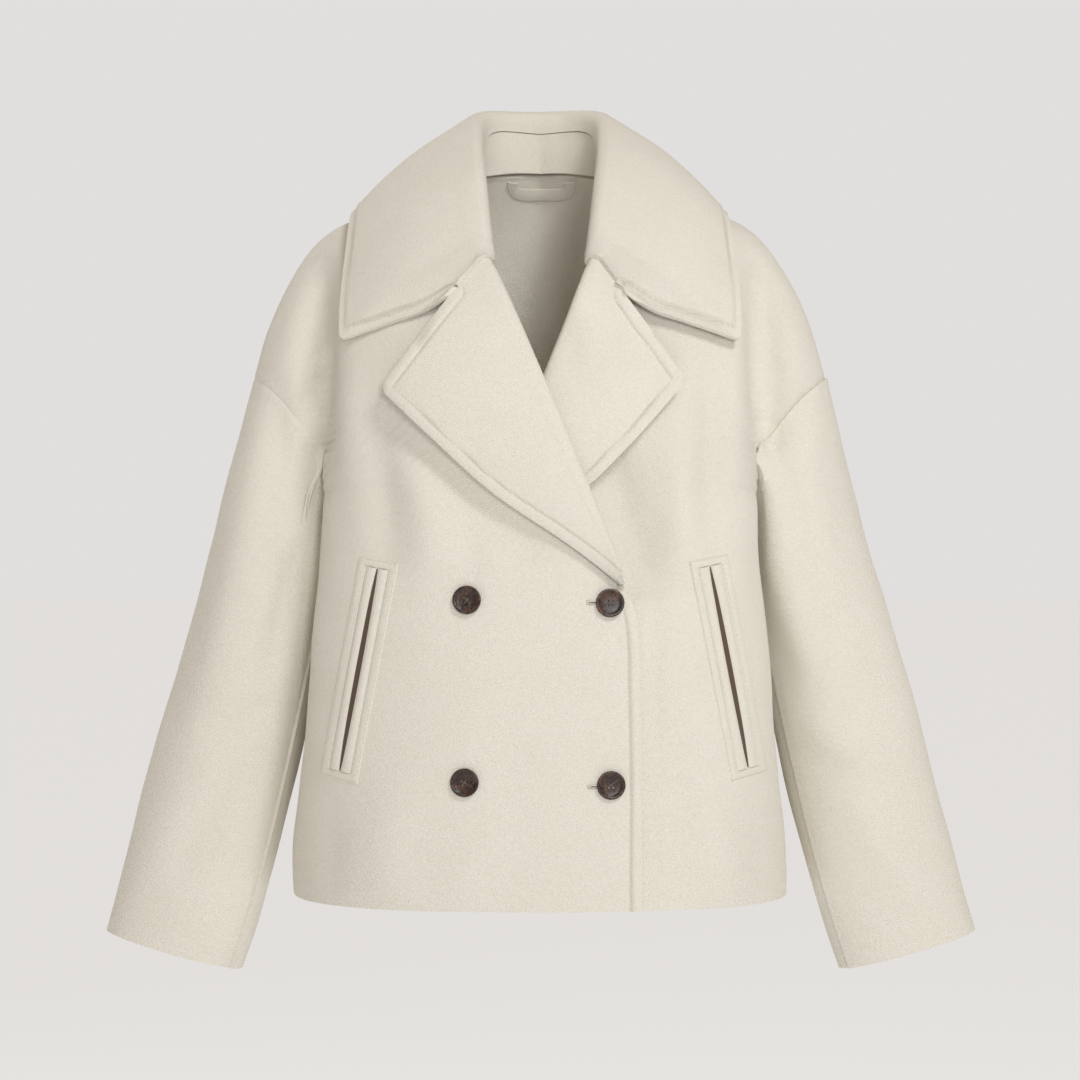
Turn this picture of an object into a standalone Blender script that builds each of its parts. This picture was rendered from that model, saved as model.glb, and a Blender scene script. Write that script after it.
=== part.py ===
"""A short double-breasted coat in thick wool, filled out as it is when it is worn.

Lengths are in millimetres until a mesh is made. The origin is the middle of the neck opening at the
height of the shoulder seams. +Z is up and -Y is the front. "Across" is the distance from the middle
of the coat on a piece's own side, so both sides share one set of sizes. The wearer's right is at -X.
"""

import math

import bmesh
import bpy
import numpy as np
from mathutils import Vector

MM = 0.001
CLOTH = 3.0  # wall of the body and the sleeves
DOUBLE_CLOTH = 4.0  # collar leaf and lapels, which are two layers sewn together
SEAM = 0.3  # space between neighbouring pieces
# The same on the outside of a bend, where the walls' inner edges come closer together.
ARMHOLE_SEAM = 1.2
BENT_SEAM = 1.4
SHOULDER_SEAM = 2.0
UNDERARM_SPACE = 1.1  # between the sleeve and the body under the arm, where both turn down
RIGHT, LEFT = -1, 1
FRONT, BACK = -1, 1

# --- Body -------------------------------------------------------------------------------------
SIDE_Y = 16.0  # the side seam and the tip of the shoulder, front to back
NECK_SHIFT = 9.0  # how much further back the shoulder seam lies at the neck
PLAN_POWER = 2.5  # 2 is an ellipse, more is boxier
HOLLOW_REACH = 96.0  # how far from the side seam the hollow for the sleeve reaches

# Height, half width, depth of the front and the back from the side seam, hollow at the side.
BODY_COLUMNS = ("height", "half", "front", "back", "hollow")
BODY = np.array(
    [
        (-640.0, 222.0, 167.0, 108.0, 0.0),
        (-600.0, 222.0, 169.0, 109.0, 0.0),
        (-560.0, 221.5, 170.0, 110.0, 6.0),
        (-490.0, 219.5, 170.0, 111.0, 20.0),
        (-420.0, 216.5, 170.0, 112.0, 31.5),
        (-360.0, 212.5, 169.0, 113.0, 38.5),
        (-300.0, 208.5, 168.0, 113.0, 40.0),
        (-245.0, 205.5, 165.0, 112.0, 38.0),
        (-182.0, 204.0, 156.0, 109.0, 38.0),
        (-120.0, 203.0, 139.0, 104.0, 38.0),
        (-75.0, 202.0, 124.0, 98.0, 38.0),
        (0.0, 201.0, 108.0, 88.0, 38.0),
        (45.0, 200.0, 104.0, 84.0, 38.0),
    ]
)

# The top line of the coat seen from the front, from the middle of the neck to the shoulder tip:
# across, height.
RIDGE = np.array(
    [
        (0.0, 45.0),
        (30.0, 30.0),
        (62.0, 6.0),
        (110.0, -15.0),
        (150.0, -28.0),
        (176.0, -36.0),
        (198.0, -51.0),
        (218.0, -76.0),
        (239.0, -117.0),
        (252.0, -152.0),
        (259.0, -178.0),
    ]
)
NECK_POINT = 62.0
NECK_POINT_HEIGHT = 6.0
BACK_NECK_RISE = 9.0
RIDGE_ROUND = {FRONT: 150.0, BACK: 110.0}  # drop over which the cloth turns from the ridge to upright
SHOULDER_SHIFTS = (-245.0, -60.0)  # heights between which the shoulder seam's shift comes in

# The upper arm under the drop shoulder.
ARM_DEPTH = {FRONT: 65.0, BACK: 63.0}
ARM_FOLD = 13.0  # softness of the fold between the chest and the arm
ARM_FOLD_SOFTENS = (-250.0, -205.0)  # heights between which the fold turns from sharp to soft

# Armhole: from the underarm to the foot of the fold on the front or back, then up to the tip.
UNDERARM_HEIGHT = -290.0
FOLD_FOOT_HEIGHT = -245.0
FOLD_FOOT_DEPTH = {FRONT: 74.0, BACK: 66.0}
HOLLOW_NARROWS = (-290.0, -245.0)  # heights between which the hollow shrinks to end at the fold
TIP = (259.0, -178.0)
ARMHOLE_BOW = {FRONT: 0.11, BACK: 0.05}
UNDERARM_STEPS = 4
ARMHOLE_SPACING = (0.0, 0.16, 0.32, 0.47, 0.61, 0.74, 0.86, 0.95, 1.0)
ARMHOLE_STEPS = UNDERARM_STEPS + len(ARMHOLE_SPACING) - 1

# Heights of the grid's rows: those under the armhole are level, and those above it are given
# where they cross the middle of the coat.
LEVEL_ROWS = (-640, -610, -580, -550, -515, -480, -445, -412, -385, -360, -325)
ARMHOLE_ROWS = (-290, -262, -234, -206, -178, -149, -117, -80, -50, -25, -3, 10, 15)
GORGE_ROW = len(LEVEL_ROWS) + ARMHOLE_ROWS.index(-80)
BREAK_ROW = LEVEL_ROWS.index(-360)
UNDERARM_ROW = len(LEVEL_ROWS)
TOP_ROW = len(LEVEL_ROWS) + ARMHOLE_STEPS

# Widths of the columns of a front, from its edge to the side, at the hem and at the shoulder.
FRONT_HEM_STEPS = (28, 32, 34, 34, 34, 34, 32, 28, 24, 20, 17, 17, 18, 20, 22)
FRONT_TOP_STEPS = (14, 14, 14, 14, 14, 15, 15, 15, 15, 14, 13, 12, 11, 9, 7)
# The back has the same steps over the shoulder, and more over the neck.
BACK_HEM_STEPS = (16, 16, 16, 16) + (22, 22, 22, 22, 22, 20, 18, 16, 15, 14, 14, 15, 16, 18, 20)
BACK_TOP_STEPS = (16, 17, 18, 20) + FRONT_TOP_STEPS
NECK_COLUMNS = 4
DENSE = 400  # points of a row before it is cut into its steps

# --- Front edge, roll line and neckline -------------------------------------------------------
ROLL_GORGE = (41.5, -82.0)  # across, height of the roll line at the collar
ROLL_BREAK = (-73.5, -360.0)  # and at the front edge, past the middle
ROLL_BOW = {RIGHT: -2.5, LEFT: 3.0}
ROLL_INSIDE = 2.2  # inner radius of a rolled fold
ROLL_OUTSIDE = ROLL_INSIDE + DOUBLE_CLOTH
ROLL_FLAT = 2.0  # flat strip between a rolled fold and the seam it starts from
ROLL_CLOSING = 0.72  # place along a roll line where the fold starts to close towards the break
BREAK_INSIDE = 0.3  # inner radius, wall and flat strip at the break
BREAK_WALL = 1.6
BREAK_FLAT = 0.8

ROLL_SLOPE = (ROLL_GORGE[0] - ROLL_BREAK[0]) / (ROLL_GORGE[1] - ROLL_BREAK[1])
ROLL_STRETCH = math.hypot(1.0, ROLL_SLOPE)

# Inner edge of a front: past the middle below the break, then along the roll line and neckline.
INNER_EDGE_LOW = np.array([(-87.3, -640.0), (-85.5, -440.0), (-83.8, -400.0), (-79.5, -378.0)])
INNER_EDGE_HIGH = np.array([(55.0, -58.0), (58.5, -36.0), (60.8, -14.0), (62.0, 6.0)])

# The left front lies under the right one.
UNDERLAP = 4.6
UNDERLAP_V = 12.0  # further in, where its lapel is also under the right front
UNDERLAP_ENDS = (88.0, 175.0)  # across between which the underlap fades out
UNDERLAP_STARTS = (95.0, 165.0)  # depths under the neck between which it comes in
UNDERLAP_V_STARTS = (100.0, 160.0)  # and between which the part under the lapel comes and goes
UNDERLAP_V_STOPS = (340.0, 400.0)

# --- Lapels: across and height of the lower edge, from the corner to the break ----------------
LAPEL_EDGE = {
    RIGHT: np.array([(132.0, -196.0), (90.0, -238.0), (46.4, -279.0), (-36.5, -337.0), (-67.5, -362.0)]),
    LEFT: np.array([(124.0, -189.5), (84.0, -234.0), (40.0, -279.0), (-36.5, -334.0), (-67.5, -362.0)]),
}
LAPEL_CORNER_LIFT = 13.0
LAPEL_EDGE_LIFT = 6.5
LAPEL_LIFT_FALLS = 0.45  # place where the corner's lift has fallen to the edge's
LAPEL_ARCH = 4.0
LAPEL_ARCH_FALLS = 0.7  # share of the arch that is lost by the break
LAPEL_LEAF_STEPS = 8
ROLL_STEPS = 4
PLACE_TRIES = 4  # a line's place depends on its own strip, so it is found by trying again

# --- Collar: stations from the middle of the back to the gorge --------------------------------
# Place along the collar, crest of the fold, outer edge of the leaf, foot on the neckline, arch.
COLLAR_COLUMNS = ("place", "crest", "edge", "foot", "arch")
COLLAR = (
    (0.00, (0.0, 84.0, 69.5), (0.0, 126.0, -36.0), (0.0, 82.0, 15.2), 12.0),
    (0.10, (24.0, 81.0, 69.3), (52.0, 125.0, -38.0), (19.5, 74.0, 14.4), 12.0),
    (0.20, (43.0, 69.0, 67.5), (103.0, 111.0, -39.0), (35.0, 62.5, 12.0), 12.0),
    (0.30, (53.0, 50.0, 61.5), (143.0, 78.0, -35.0), (46.5, 48.5, 9.0), 11.0),
    (0.40, (56.0, 27.0, 52.0), (164.0, 36.0, -30.0), (54.5, 33.5, 6.6), 10.0),
    (0.50, (56.0, 3.0, 37.0), (167.0, 4.0, -32.0), (58.6, 10.0, 3.0), 9.0),
    (0.60, (54.5, -22.0, 17.5), (169.0, -24.0, -48.0), (58.0, -14.5, -4.5), 9.0),
    (0.70, (51.5, -47.0, -7.0), (172.0, -53.0, -85.0), (56.6, -40.0, -23.0), 9.0),
    (0.80, (48.0, -70.0, -38.0), (174.0, -75.0, -120.0), (54.4, -62.0, -44.9), 9.0),
    (0.90, (44.8, -85.5, -62.0), (173.0, -92.0, -152.0), (51.2, -79.5, -66.0), 9.0),
    (1.00, (41.5, -94.5, -82.0), (72.5, -122.0, -120.0), (47.9, -93.5, -85.5), 4.0),
)
COLLAR_CORNER = 0.90
STAND_SEAM = 12.0  # the stand's seam under the fold, on the inside
COLLAR_PLACES = (0, 0.05, 0.1, 0.15, 0.2, 0.25, 0.3, 0.35, 0.4, 0.45, 0.5, 0.56, 0.62, 0.69, 0.76, 0.83)
COLLAR_FRONT_PLACES = (0.90, 0.925, 0.95, 0.975, 1.0)
COLLAR_LEAF_STEPS = 7
STAND_STEPS = 3
GORGE_SHARE = 0.32  # share of the lapel's top edge that the collar is sewn to

# --- Sleeves: outer and inner line seen from the front, depth in front and behind -------------
SLEEVE_COLUMNS = ("place", "outer_x", "outer_z", "inner_x", "inner_z", "front", "back")
SLEEVE = np.array(
    [
        (0.00, 259.0, -178.0, 168.5, -290.0, 72.0, 68.0),
        (0.09, 269.5, -222.0, 173.0, -312.0, 70.5, 68.0),
        (0.18, 281.0, -268.0, 178.5, -338.0, 68.5, 67.0),
        (0.30, 297.0, -328.0, 187.0, -382.0, 65.5, 65.5),
        (0.44, 317.0, -400.0, 199.5, -440.0, 62.0, 63.5),
        (0.60, 341.0, -484.0, 216.0, -517.0, 57.5, 59.5),
        (0.76, 363.0, -564.0, 235.5, -599.0, 50.5, 53.0),
        (0.90, 381.5, -634.0, 256.0, -670.0, 43.0, 45.5),
        (1.00, 392.5, -676.0, 270.0, -711.0, 38.5, 41.0),
    ]
)
SLEEVE_PLACES = (0, 0.04, 0.08, 0.13, 0.19, 0.26, 0.33, 0.41, 0.49, 0.57, 0.65, 0.73, 0.81, 0.88, 0.95, 1)
SLEEVE_SETTLE = 0.34  # place where the section has become a plain oval
SLEEVE_EVEN = 0.50  # place where the points lie evenly round that oval
FRONT_SEAM_STEP = 10  # steps round the armhole, from the tip, to the seams of the two-piece sleeve
BACK_SEAM_STEP = 17

# --- Pockets, buttons and loop ----------------------------------------------------------------
POCKET_TOP = {RIGHT: (138.0, -341.0), LEFT: (144.5, -339.0)}
POCKET_FOOT = {RIGHT: (174.0, -530.5), LEFT: (181.5, -528.5)}
POCKET_WIDTH = 35.5
FRAME_BORDER = 8.0
FRAME_THICK = 1.2
FRAME_AWAY = 0.4  # off the front, where it bends between its own points
FRAME_STEPS = 10
FRAME_END_STEPS = 4
WELT_THICK = 2.6
WELT_WALL = 1.4
SLIT_WIDTH = 2.6
BUTTONS = ((-61.8, -374.8), (59.2, -377.3), (-63.7, -529.6), (60.1, -531.8))
BUTTON_RADIUS = 12.1
BUTTON_STAND_OFF = 0.3
# Radius as a share of the button's, and height above its back.
BUTTON_PROFILE = (
    (0.0, 0.0),
    (0.80, 0.0),
    (0.97, 1.2),
    (1.0, 2.1),
    (0.96, 3.1),
    (0.86, 3.5),
    (0.74, 3.2),
    (0.62, 2.3),
    (0.0, 2.0),
)
BUTTON_TOP = 3.5
BUTTON_SIDES = 24
BUTTON_HOLE_RADIUS = 0.95
BUTTON_HOLE_CIRCLE = 2.5
LOOP_ENDS = (-33.0, 36.0)
LOOP_HEIGHT = 11.0  # where the ends meet the neck seam
LOOP_LOW = 1.0  # middle of the band at its lowest
LOOP_AWAY = 1.3  # off the inside of the back
LOOP_CORNER_STEPS = 4
LOOP_BULGE = 0.8
LOOP_BAND = 10.5
LOOP_CORNER = 7.0
LOOP_THICK = 2.4

WOOL = (0.79, 0.735, 0.635)
WOOL_ROUGHNESS = 0.9
WOOL_SHEEN = 0.3
HORN = (0.055, 0.035, 0.028)
HORN_ROUGHNESS = 0.3


# --- Curves and tables ------------------------------------------------------------------------
def smooth_step(value, low, high):
    """0 below low, 1 above high, and a smooth ramp between them."""
    part = np.clip((value - low) / (high - low), 0.0, 1.0)
    return part * part * (3.0 - 2.0 * part)


def curve_through(knots, values, at):
    """A smooth curve through a row of values, one at each knot."""
    knots = np.asarray(knots, float)
    values = np.asarray(values, float)
    slopes = np.gradient(values, knots, axis=0)
    at = np.clip(np.asarray(at, float), knots[0], knots[-1])
    index = np.clip(np.searchsorted(knots, at, side="right") - 1, 0, len(knots) - 2)
    span = knots[index + 1] - knots[index]
    part = (at - knots[index]) / span
    if values.ndim > 1:
        part = part[..., None]
        span = span[..., None]
    start = values[index] * (1 + 2 * part) * (1 - part) ** 2 + slopes[index] * span * part * (1 - part) ** 2
    end = values[index + 1] * part**2 * (3 - 2 * part) + slopes[index + 1] * span * part**2 * (part - 1)
    return start + end


def body_size(name, height):
    """One size of the body at a height."""
    return curve_through(BODY[:, 0], BODY[:, BODY_COLUMNS.index(name)], height)


def ridge_height(across):
    """Height of the shoulder line."""
    return curve_through(RIDGE[:, 0], RIDGE[:, 1], across)


def top_height(across):
    """Height of the top edge of the back: the neckline, then the shoulder seam."""
    neck = NECK_POINT_HEIGHT + BACK_NECK_RISE * (1.0 - np.clip(across / NECK_POINT, 0, 1) ** 2)
    return np.where(across < NECK_POINT, neck, ridge_height(across))


def resample(points, fractions):
    """Points at these fractions of a polyline's length."""
    steps = np.linalg.norm(np.diff(points, axis=0), axis=1)
    length = np.concatenate([[0.0], np.cumsum(steps)])
    wanted = np.asarray(fractions) * length[-1]
    return np.stack([np.interp(wanted, length, points[:, k]) for k in range(3)], axis=1)


def fractions_of(steps):
    """Steps turned into fractions that run from 0 to 1."""
    total = np.concatenate([[0.0], np.cumsum(steps)])
    return total / total[-1]


def unit(vectors):
    """Vectors of length 1."""
    return vectors / np.linalg.norm(vectors, axis=-1, keepdims=True)


# --- The body's surface -----------------------------------------------------------------------
def plan_depth(across, height, face):
    """Depth of the chest or the back from the side seam's plane, without the hollow."""
    half = body_size("half", height)
    reach = body_size("front" if face == FRONT else "back", height)
    share = np.clip(np.abs(across) / half, 0.0, 1.0)
    return reach * (1.0 - share**PLAN_POWER) ** (1.0 / PLAN_POWER)


def hollow_reach(height, face):
    """How far from the side seam the hollow reaches: only to the fold's foot at its height."""
    return HOLLOW_REACH + (FOLD_FOOT_DEPTH[face] - HOLLOW_REACH) * smooth_step(height, *HOLLOW_NARROWS)


def side_point(depth, height, face):
    """A point on the part of the body that turns in towards the side seam, from its depth."""
    half = body_size("half", height)
    reach = body_size("front" if face == FRONT else "back", height)
    share = np.clip(depth / reach, 0.0, 1.0)
    across = half * (1.0 - share**PLAN_POWER) ** (1.0 / PLAN_POWER)
    bend = np.cos(np.pi / 2 * np.clip(depth / hollow_reach(height, face), 0.0, 1.0)) ** 2
    return across - body_size("hollow", height) * bend, SIDE_Y + face * depth


def upper_y(across, height, face):
    """Front to back place of the chest, the back and the cap of the arm, above the fold's foot."""
    chest = plan_depth(across, height, face)
    arm = np.where(height < FOLD_FOOT_HEIGHT - 1.0, 0.0, ARM_DEPTH[face])
    soft = ARM_FOLD * smooth_step(height, *ARM_FOLD_SOFTENS)
    depth = 0.5 * (chest + arm + np.sqrt((chest - arm) ** 2 + soft**2))
    below = np.clip((ridge_height(np.abs(across)) - height) / RIDGE_ROUND[face], 0.0, 1.0)
    turn = np.sqrt(np.clip(1.0 - (1.0 - below) ** 2, 0.0, 1.0))
    shift = NECK_SHIFT * (1.0 - np.abs(across) / TIP[0]) * smooth_step(height, *SHOULDER_SHIFTS)
    return SIDE_Y + shift + face * depth * turn


def underlap(across, height, side):
    """How far a front is set in because the other one lies over it."""
    if side == RIGHT:
        return np.zeros_like(np.asarray(across, float) + height)
    near = 1.0 - smooth_step(across, *UNDERLAP_ENDS)
    low = smooth_step(-height, *UNDERLAP_STARTS)
    lapel = smooth_step(-height, *UNDERLAP_V_STARTS) * (1.0 - smooth_step(-height, *UNDERLAP_V_STOPS))
    return near * (UNDERLAP * low + UNDERLAP_V * lapel)


def panel_points(across, height, side, face):
    """Points on the outside of a front or of one half of the back, in the coat's own axes."""
    across, height = np.broadcast_arrays(np.asarray(across, float), np.asarray(height, float))
    y = upper_y(across, height, face)
    if face == FRONT:
        y = y + underlap(across, height, side)
    return np.stack([side * across, y, height], axis=-1)


def panel_normals(across, height, side, face):
    """Outward directions at the same points."""
    step = 1.0
    along = panel_points(across + step, height, side, face) - panel_points(across - step, height, side, face)
    up = panel_points(across, height + step, side, face) - panel_points(across, height - step, side, face)
    return unit(np.cross(along, up) * side * -face)


def on_panel(across, height, side, lift, face=FRONT):
    """Points over a panel, moved out along its normals, or in where the lift is negative."""
    lift = np.asarray(lift, float)[..., None]
    return panel_points(across, height, side, face) + lift * panel_normals(across, height, side, face)


# --- Grid rows --------------------------------------------------------------------------------
def armhole_point(step, face):
    """Across, depth from the side seam's plane and height of the armhole, from the underarm up."""
    foot_depth, foot_z = FOLD_FOOT_DEPTH[face], FOLD_FOOT_HEIGHT
    if step <= UNDERARM_STEPS:
        turn = step / UNDERARM_STEPS * math.pi / 2
        depth = foot_depth * math.sin(turn)
        height = UNDERARM_HEIGHT + (foot_z - UNDERARM_HEIGHT) * (1.0 - math.cos(turn))
        across = float(side_point(depth, height, face)[0])
        return across, depth, height
    foot_x = float(side_point(foot_depth, foot_z, face)[0])
    part = ARMHOLE_SPACING[step - UNDERARM_STEPS]
    across = foot_x + (TIP[0] - foot_x) * part
    rise = part + ARMHOLE_BOW[face] * math.sin(math.pi * part)
    height = foot_z + (TIP[1] - foot_z) * rise
    return across, float(abs(upper_y(across, height, face) - SIDE_Y)), height


def row_profile(share, top_share):
    """How a row falls from the middle to its end: more like the shoulder line near the top."""
    shoulder = (top_height(0.0) - top_height(share * TIP[0])) / (top_height(0.0) - TIP[1])
    return (1.0 - top_share) * share**2 + top_share * shoulder


def dense_row(row, face):
    """Closely spaced points of one row, from the middle of the coat to the side or the armhole."""
    if row < UNDERARM_ROW:
        depth_end, start_z, end_z = 0.0, float(LEVEL_ROWS[row]), float(LEVEL_ROWS[row])
        step = 0
    else:
        step = row - UNDERARM_ROW
        end_x, depth_end, end_z = armhole_point(step, face)
        start_z = float(ARMHOLE_ROWS[step])
    if step <= UNDERARM_STEPS:
        reach = float(body_size("front" if face == FRONT else "back", end_z))
        last = math.acos(min(1.0, (depth_end / reach) ** (PLAN_POWER / 2)))
        turn = last * np.linspace(0.0, 1.0, DENSE)
        height = start_z + (end_z - start_z) * (turn / last) ** 2
        depth = body_size("front" if face == FRONT else "back", height) * np.cos(turn) ** (2 / PLAN_POWER)
        depth = np.maximum(depth, depth_end)
        across, y = side_point(depth, height, face)
        return np.stack([across, y, height], axis=1)
    share = 1.0 - (1.0 - np.linspace(0.0, 1.0, DENSE)) ** 2
    top_share = (step - UNDERARM_STEPS) / (ARMHOLE_STEPS - UNDERARM_STEPS)
    height = start_z + (end_z - start_z) * row_profile(share, top_share)
    across = end_x * share
    return np.stack([across, upper_y(across, height, face), height], axis=1)


def roll_across(height, side):
    """Across of the roll line's crest at a height."""
    part = (height - ROLL_BREAK[1]) / (ROLL_GORGE[1] - ROLL_BREAK[1])
    straight = ROLL_BREAK[0] + (ROLL_GORGE[0] - ROLL_BREAK[0]) * part
    return straight + ROLL_BOW[side] * np.sin(np.pi * np.clip(part, 0.0, 1.0))


def roll_sizes(place):
    """Inner radius, wall and reach of a rolled fold at a place from the gorge to the break."""
    closing = float(smooth_step(place, ROLL_CLOSING, 1.0))
    inside = ROLL_INSIDE + (BREAK_INSIDE - ROLL_INSIDE) * closing
    wall = DOUBLE_CLOTH + (BREAK_WALL - DOUBLE_CLOTH) * closing
    return inside, wall, inside + wall + ROLL_FLAT + (BREAK_FLAT - ROLL_FLAT) * closing


def inner_edge_across(height, side):
    """Across of a front's inner edge at a height: front edge, roll line or neckline."""
    places = np.linspace(1.0, 0.0, 17)
    heights = ROLL_GORGE[1] + (ROLL_BREAK[1] - ROLL_GORGE[1]) * places
    reach = [roll_sizes(place)[2] for place in places]
    roll = np.stack([roll_across(heights, side) + np.array(reach) * ROLL_STRETCH, heights], axis=1)
    edge = np.concatenate([INNER_EDGE_LOW, roll, INNER_EDGE_HIGH])
    return curve_through(edge[:, 1], edge[:, 0], height)


def front_row(row, side):
    """One row of a front, from its inner edge to the side or the armhole."""
    half = dense_row(row, FRONT)
    mirrored = half[:0:-1] * (-1, 1, 1)
    points = np.concatenate([mirrored[DENSE // 2 :], half])
    points[:, 1] += underlap(points[:, 0], points[:, 2], side)
    beyond = points[:, 0] - inner_edge_across(points[:, 2], side)
    inside = np.argmax(beyond > 0)
    part = beyond[inside] / (beyond[inside] - beyond[inside - 1])
    first = points[inside] + (points[inside - 1] - points[inside]) * part
    top_share = smooth_step(row, UNDERARM_ROW - 2, TOP_ROW)
    low, high = fractions_of(FRONT_HEM_STEPS), fractions_of(FRONT_TOP_STEPS)
    return resample(np.concatenate([[first], points[inside:]]), low + (high - low) * top_share)


def back_row(row):
    """One row of the back's left half, from the middle to the side or the armhole."""
    half = dense_row(row, BACK)
    if row == TOP_ROW:
        beyond = np.searchsorted(half[:, 0], NECK_POINT)
        neck = resample(half[: beyond + 1], fractions_of(BACK_TOP_STEPS[:NECK_COLUMNS]))
        shoulder = resample(half[beyond:], fractions_of(FRONT_TOP_STEPS))
        return np.concatenate([neck[:-1], shoulder])
    top_share = smooth_step(row, UNDERARM_ROW - 2, TOP_ROW)
    low, high = fractions_of(BACK_HEM_STEPS), fractions_of(BACK_TOP_STEPS)
    return resample(half, low + (high - low) * top_share)


def pulled_in(grid, first_row=0.0, last_row=0.0, first_column=0.0, last_column=0.0):
    """The grid with its edges drawn back by these amounts, which leaves the space at a seam."""
    grid = grid.copy()
    grid[0] += unit(grid[1] - grid[0]) * first_row
    grid[-1] += unit(grid[-2] - grid[-1]) * last_row
    grid[:, 0] += unit(grid[:, 1] - grid[:, 0]) * first_column
    grid[:, -1] += unit(grid[:, -2] - grid[:, -1]) * last_column
    return grid


# --- Mesh objects -----------------------------------------------------------------------------
def new_collection(name, helper=False):
    """A collection under the scene's own."""
    collection = bpy.data.collections.new(name)
    bpy.context.scene.collection.children.link(collection)
    collection.hide_render = helper
    return collection


def new_material(name, color, roughness, sheen=0.0):
    """A plain finish for a solid."""
    material = bpy.data.materials.new(name)
    material.use_nodes = True
    shader = material.node_tree.nodes["Principled BSDF"]
    shader.inputs["Base Color"].default_value = (*color, 1.0)
    shader.inputs["Roughness"].default_value = roughness
    shader.inputs["Metallic"].default_value = 0.0
    shader.inputs["Sheen Weight"].default_value = sheen
    material.diffuse_color = (*color, 1.0)
    return material


def grid_faces(rows, columns, flip):
    """Quads of a grid whose points run row by row."""
    faces = []
    for row in range(rows - 1):
        for column in range(columns - 1):
            corner = row * columns + column
            quad = (corner, corner + 1, corner + columns + 1, corner + columns)
            faces.append(quad[::-1] if flip else quad)
    return faces


def mesh_object(name, points, faces, collection):
    """A piece of cloth, without its wall yet, from points in millimetres."""
    mesh = bpy.data.meshes.new(name)
    mesh.from_pydata((np.asarray(points, float) * MM).tolist(), [], faces)
    mesh.materials.append(new_material(f"{name} wool", WOOL, WOOL_ROUGHNESS, WOOL_SHEEN))
    mesh.shade_smooth()
    item = bpy.data.objects.new(name, mesh)
    collection.objects.link(item)
    return item


def add_wall(item, thickness):
    """Gives an open surface its wall, which goes inwards from it."""
    split = item.modifiers.new("Split", "TRIANGULATE")
    split.quad_method = "SHORTEST_DIAGONAL"
    wall = item.modifiers.new("Wall", "SOLIDIFY")
    wall.thickness = thickness * MM
    wall.offset = -1.0
    wall.use_even_offset = True
    wall.use_quality_normals = True


def cloth_object(name, grid, thickness, collection, flip=False):
    """A cloth piece: the grid is its outside, and the wall goes inwards from it."""
    rows, columns = grid.shape[:2]
    faces = grid_faces(rows, columns, flip)
    item = mesh_object(name, grid.reshape(-1, 3), faces, collection)
    add_wall(item, thickness)
    return item


# --- Pieces -----------------------------------------------------------------------------------
def make_front(side, name, collection):
    """One front, from the hem to the shoulder seam."""
    grid = np.array([front_row(row, side) for row in range(TOP_ROW + 1)])
    grid[..., 0] *= side
    half = SEAM / 2
    grid = pulled_in(grid, last_row=SHOULDER_SEAM / 2, first_column=half, last_column=half)
    cloth_object(name, grid, CLOTH, collection, flip=side == RIGHT)


def make_back(name, collection):
    """The back, cut in one."""
    left = np.array([back_row(row) for row in range(TOP_ROW + 1)])
    grid = np.concatenate([left[:, :0:-1] * (-1, 1, 1), left], axis=1)
    half = SEAM / 2
    grid = pulled_in(grid, last_row=SHOULDER_SEAM / 2, first_column=half, last_column=half)
    cloth_object(name, grid, CLOTH, collection, flip=True)


def armhole_ring():
    """The armhole all round on the left, from the tip down the front and up the back."""
    ring = []
    for step in range(-ARMHOLE_STEPS, ARMHOLE_STEPS + 1):
        face = BACK if step > 0 else FRONT
        across, depth, height = armhole_point(abs(step), face)
        if abs(step) < UNDERARM_STEPS:
            across += UNDERARM_SPACE
        ring.append((across, SIDE_Y + face * depth, height))
    return np.array(ring)


def sleeve_frame(place):
    """Middle, outward direction, half width and the two depths of a sleeve's section."""
    sizes = dict(zip(SLEEVE_COLUMNS, curve_through(SLEEVE[:, 0], SLEEVE, np.array(place))))
    outer = np.array([sizes["outer_x"], SIDE_Y, sizes["outer_z"]])
    inner = np.array([sizes["inner_x"], SIDE_Y, sizes["inner_z"]])
    middle, half = (outer + inner) / 2, np.linalg.norm(outer - inner) / 2
    return middle, unit(outer - inner), half, sizes["front"], sizes["back"]


def sleeve_grid():
    """Rings of the left sleeve from the armhole to the cuff."""
    ring = armhole_ring()
    middle, outward, half, front, back = sleeve_frame(0.0)
    across = np.array([0.0, 1.0, 0.0])
    normal = np.cross(across, outward)
    start = ring - middle
    depth = start @ across
    local = np.stack([start @ outward / half, depth / np.where(depth < 0, front, back), start @ normal], axis=1)
    own_angle = np.mod(np.arctan2(-local[:, 1], local[:, 0]), 2 * np.pi)
    own_angle[-1] = 2 * np.pi
    even_angle = np.linspace(0.0, 2 * np.pi, len(ring))
    rows = []
    for place in SLEEVE_PLACES:
        middle, outward, half, front, back = sleeve_frame(place)
        settled = smooth_step(place, 0.0, SLEEVE_SETTLE)
        angle = own_angle + (even_angle - own_angle) * smooth_step(place, 0.0, SLEEVE_EVEN)
        oval = np.stack([np.cos(angle), -np.sin(angle), np.zeros_like(angle)], axis=1)
        shape = local * (1.0 - settled) + oval * settled
        depths = np.where(shape[:, 1] < 0, front, back)
        normal = np.cross(across, outward)
        rows.append(
            middle
            + shape[:, :1] * half * outward
            + (shape[:, 1] * depths)[:, None] * across
            + shape[:, 2:] * normal
        )
    return np.array(rows)


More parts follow.
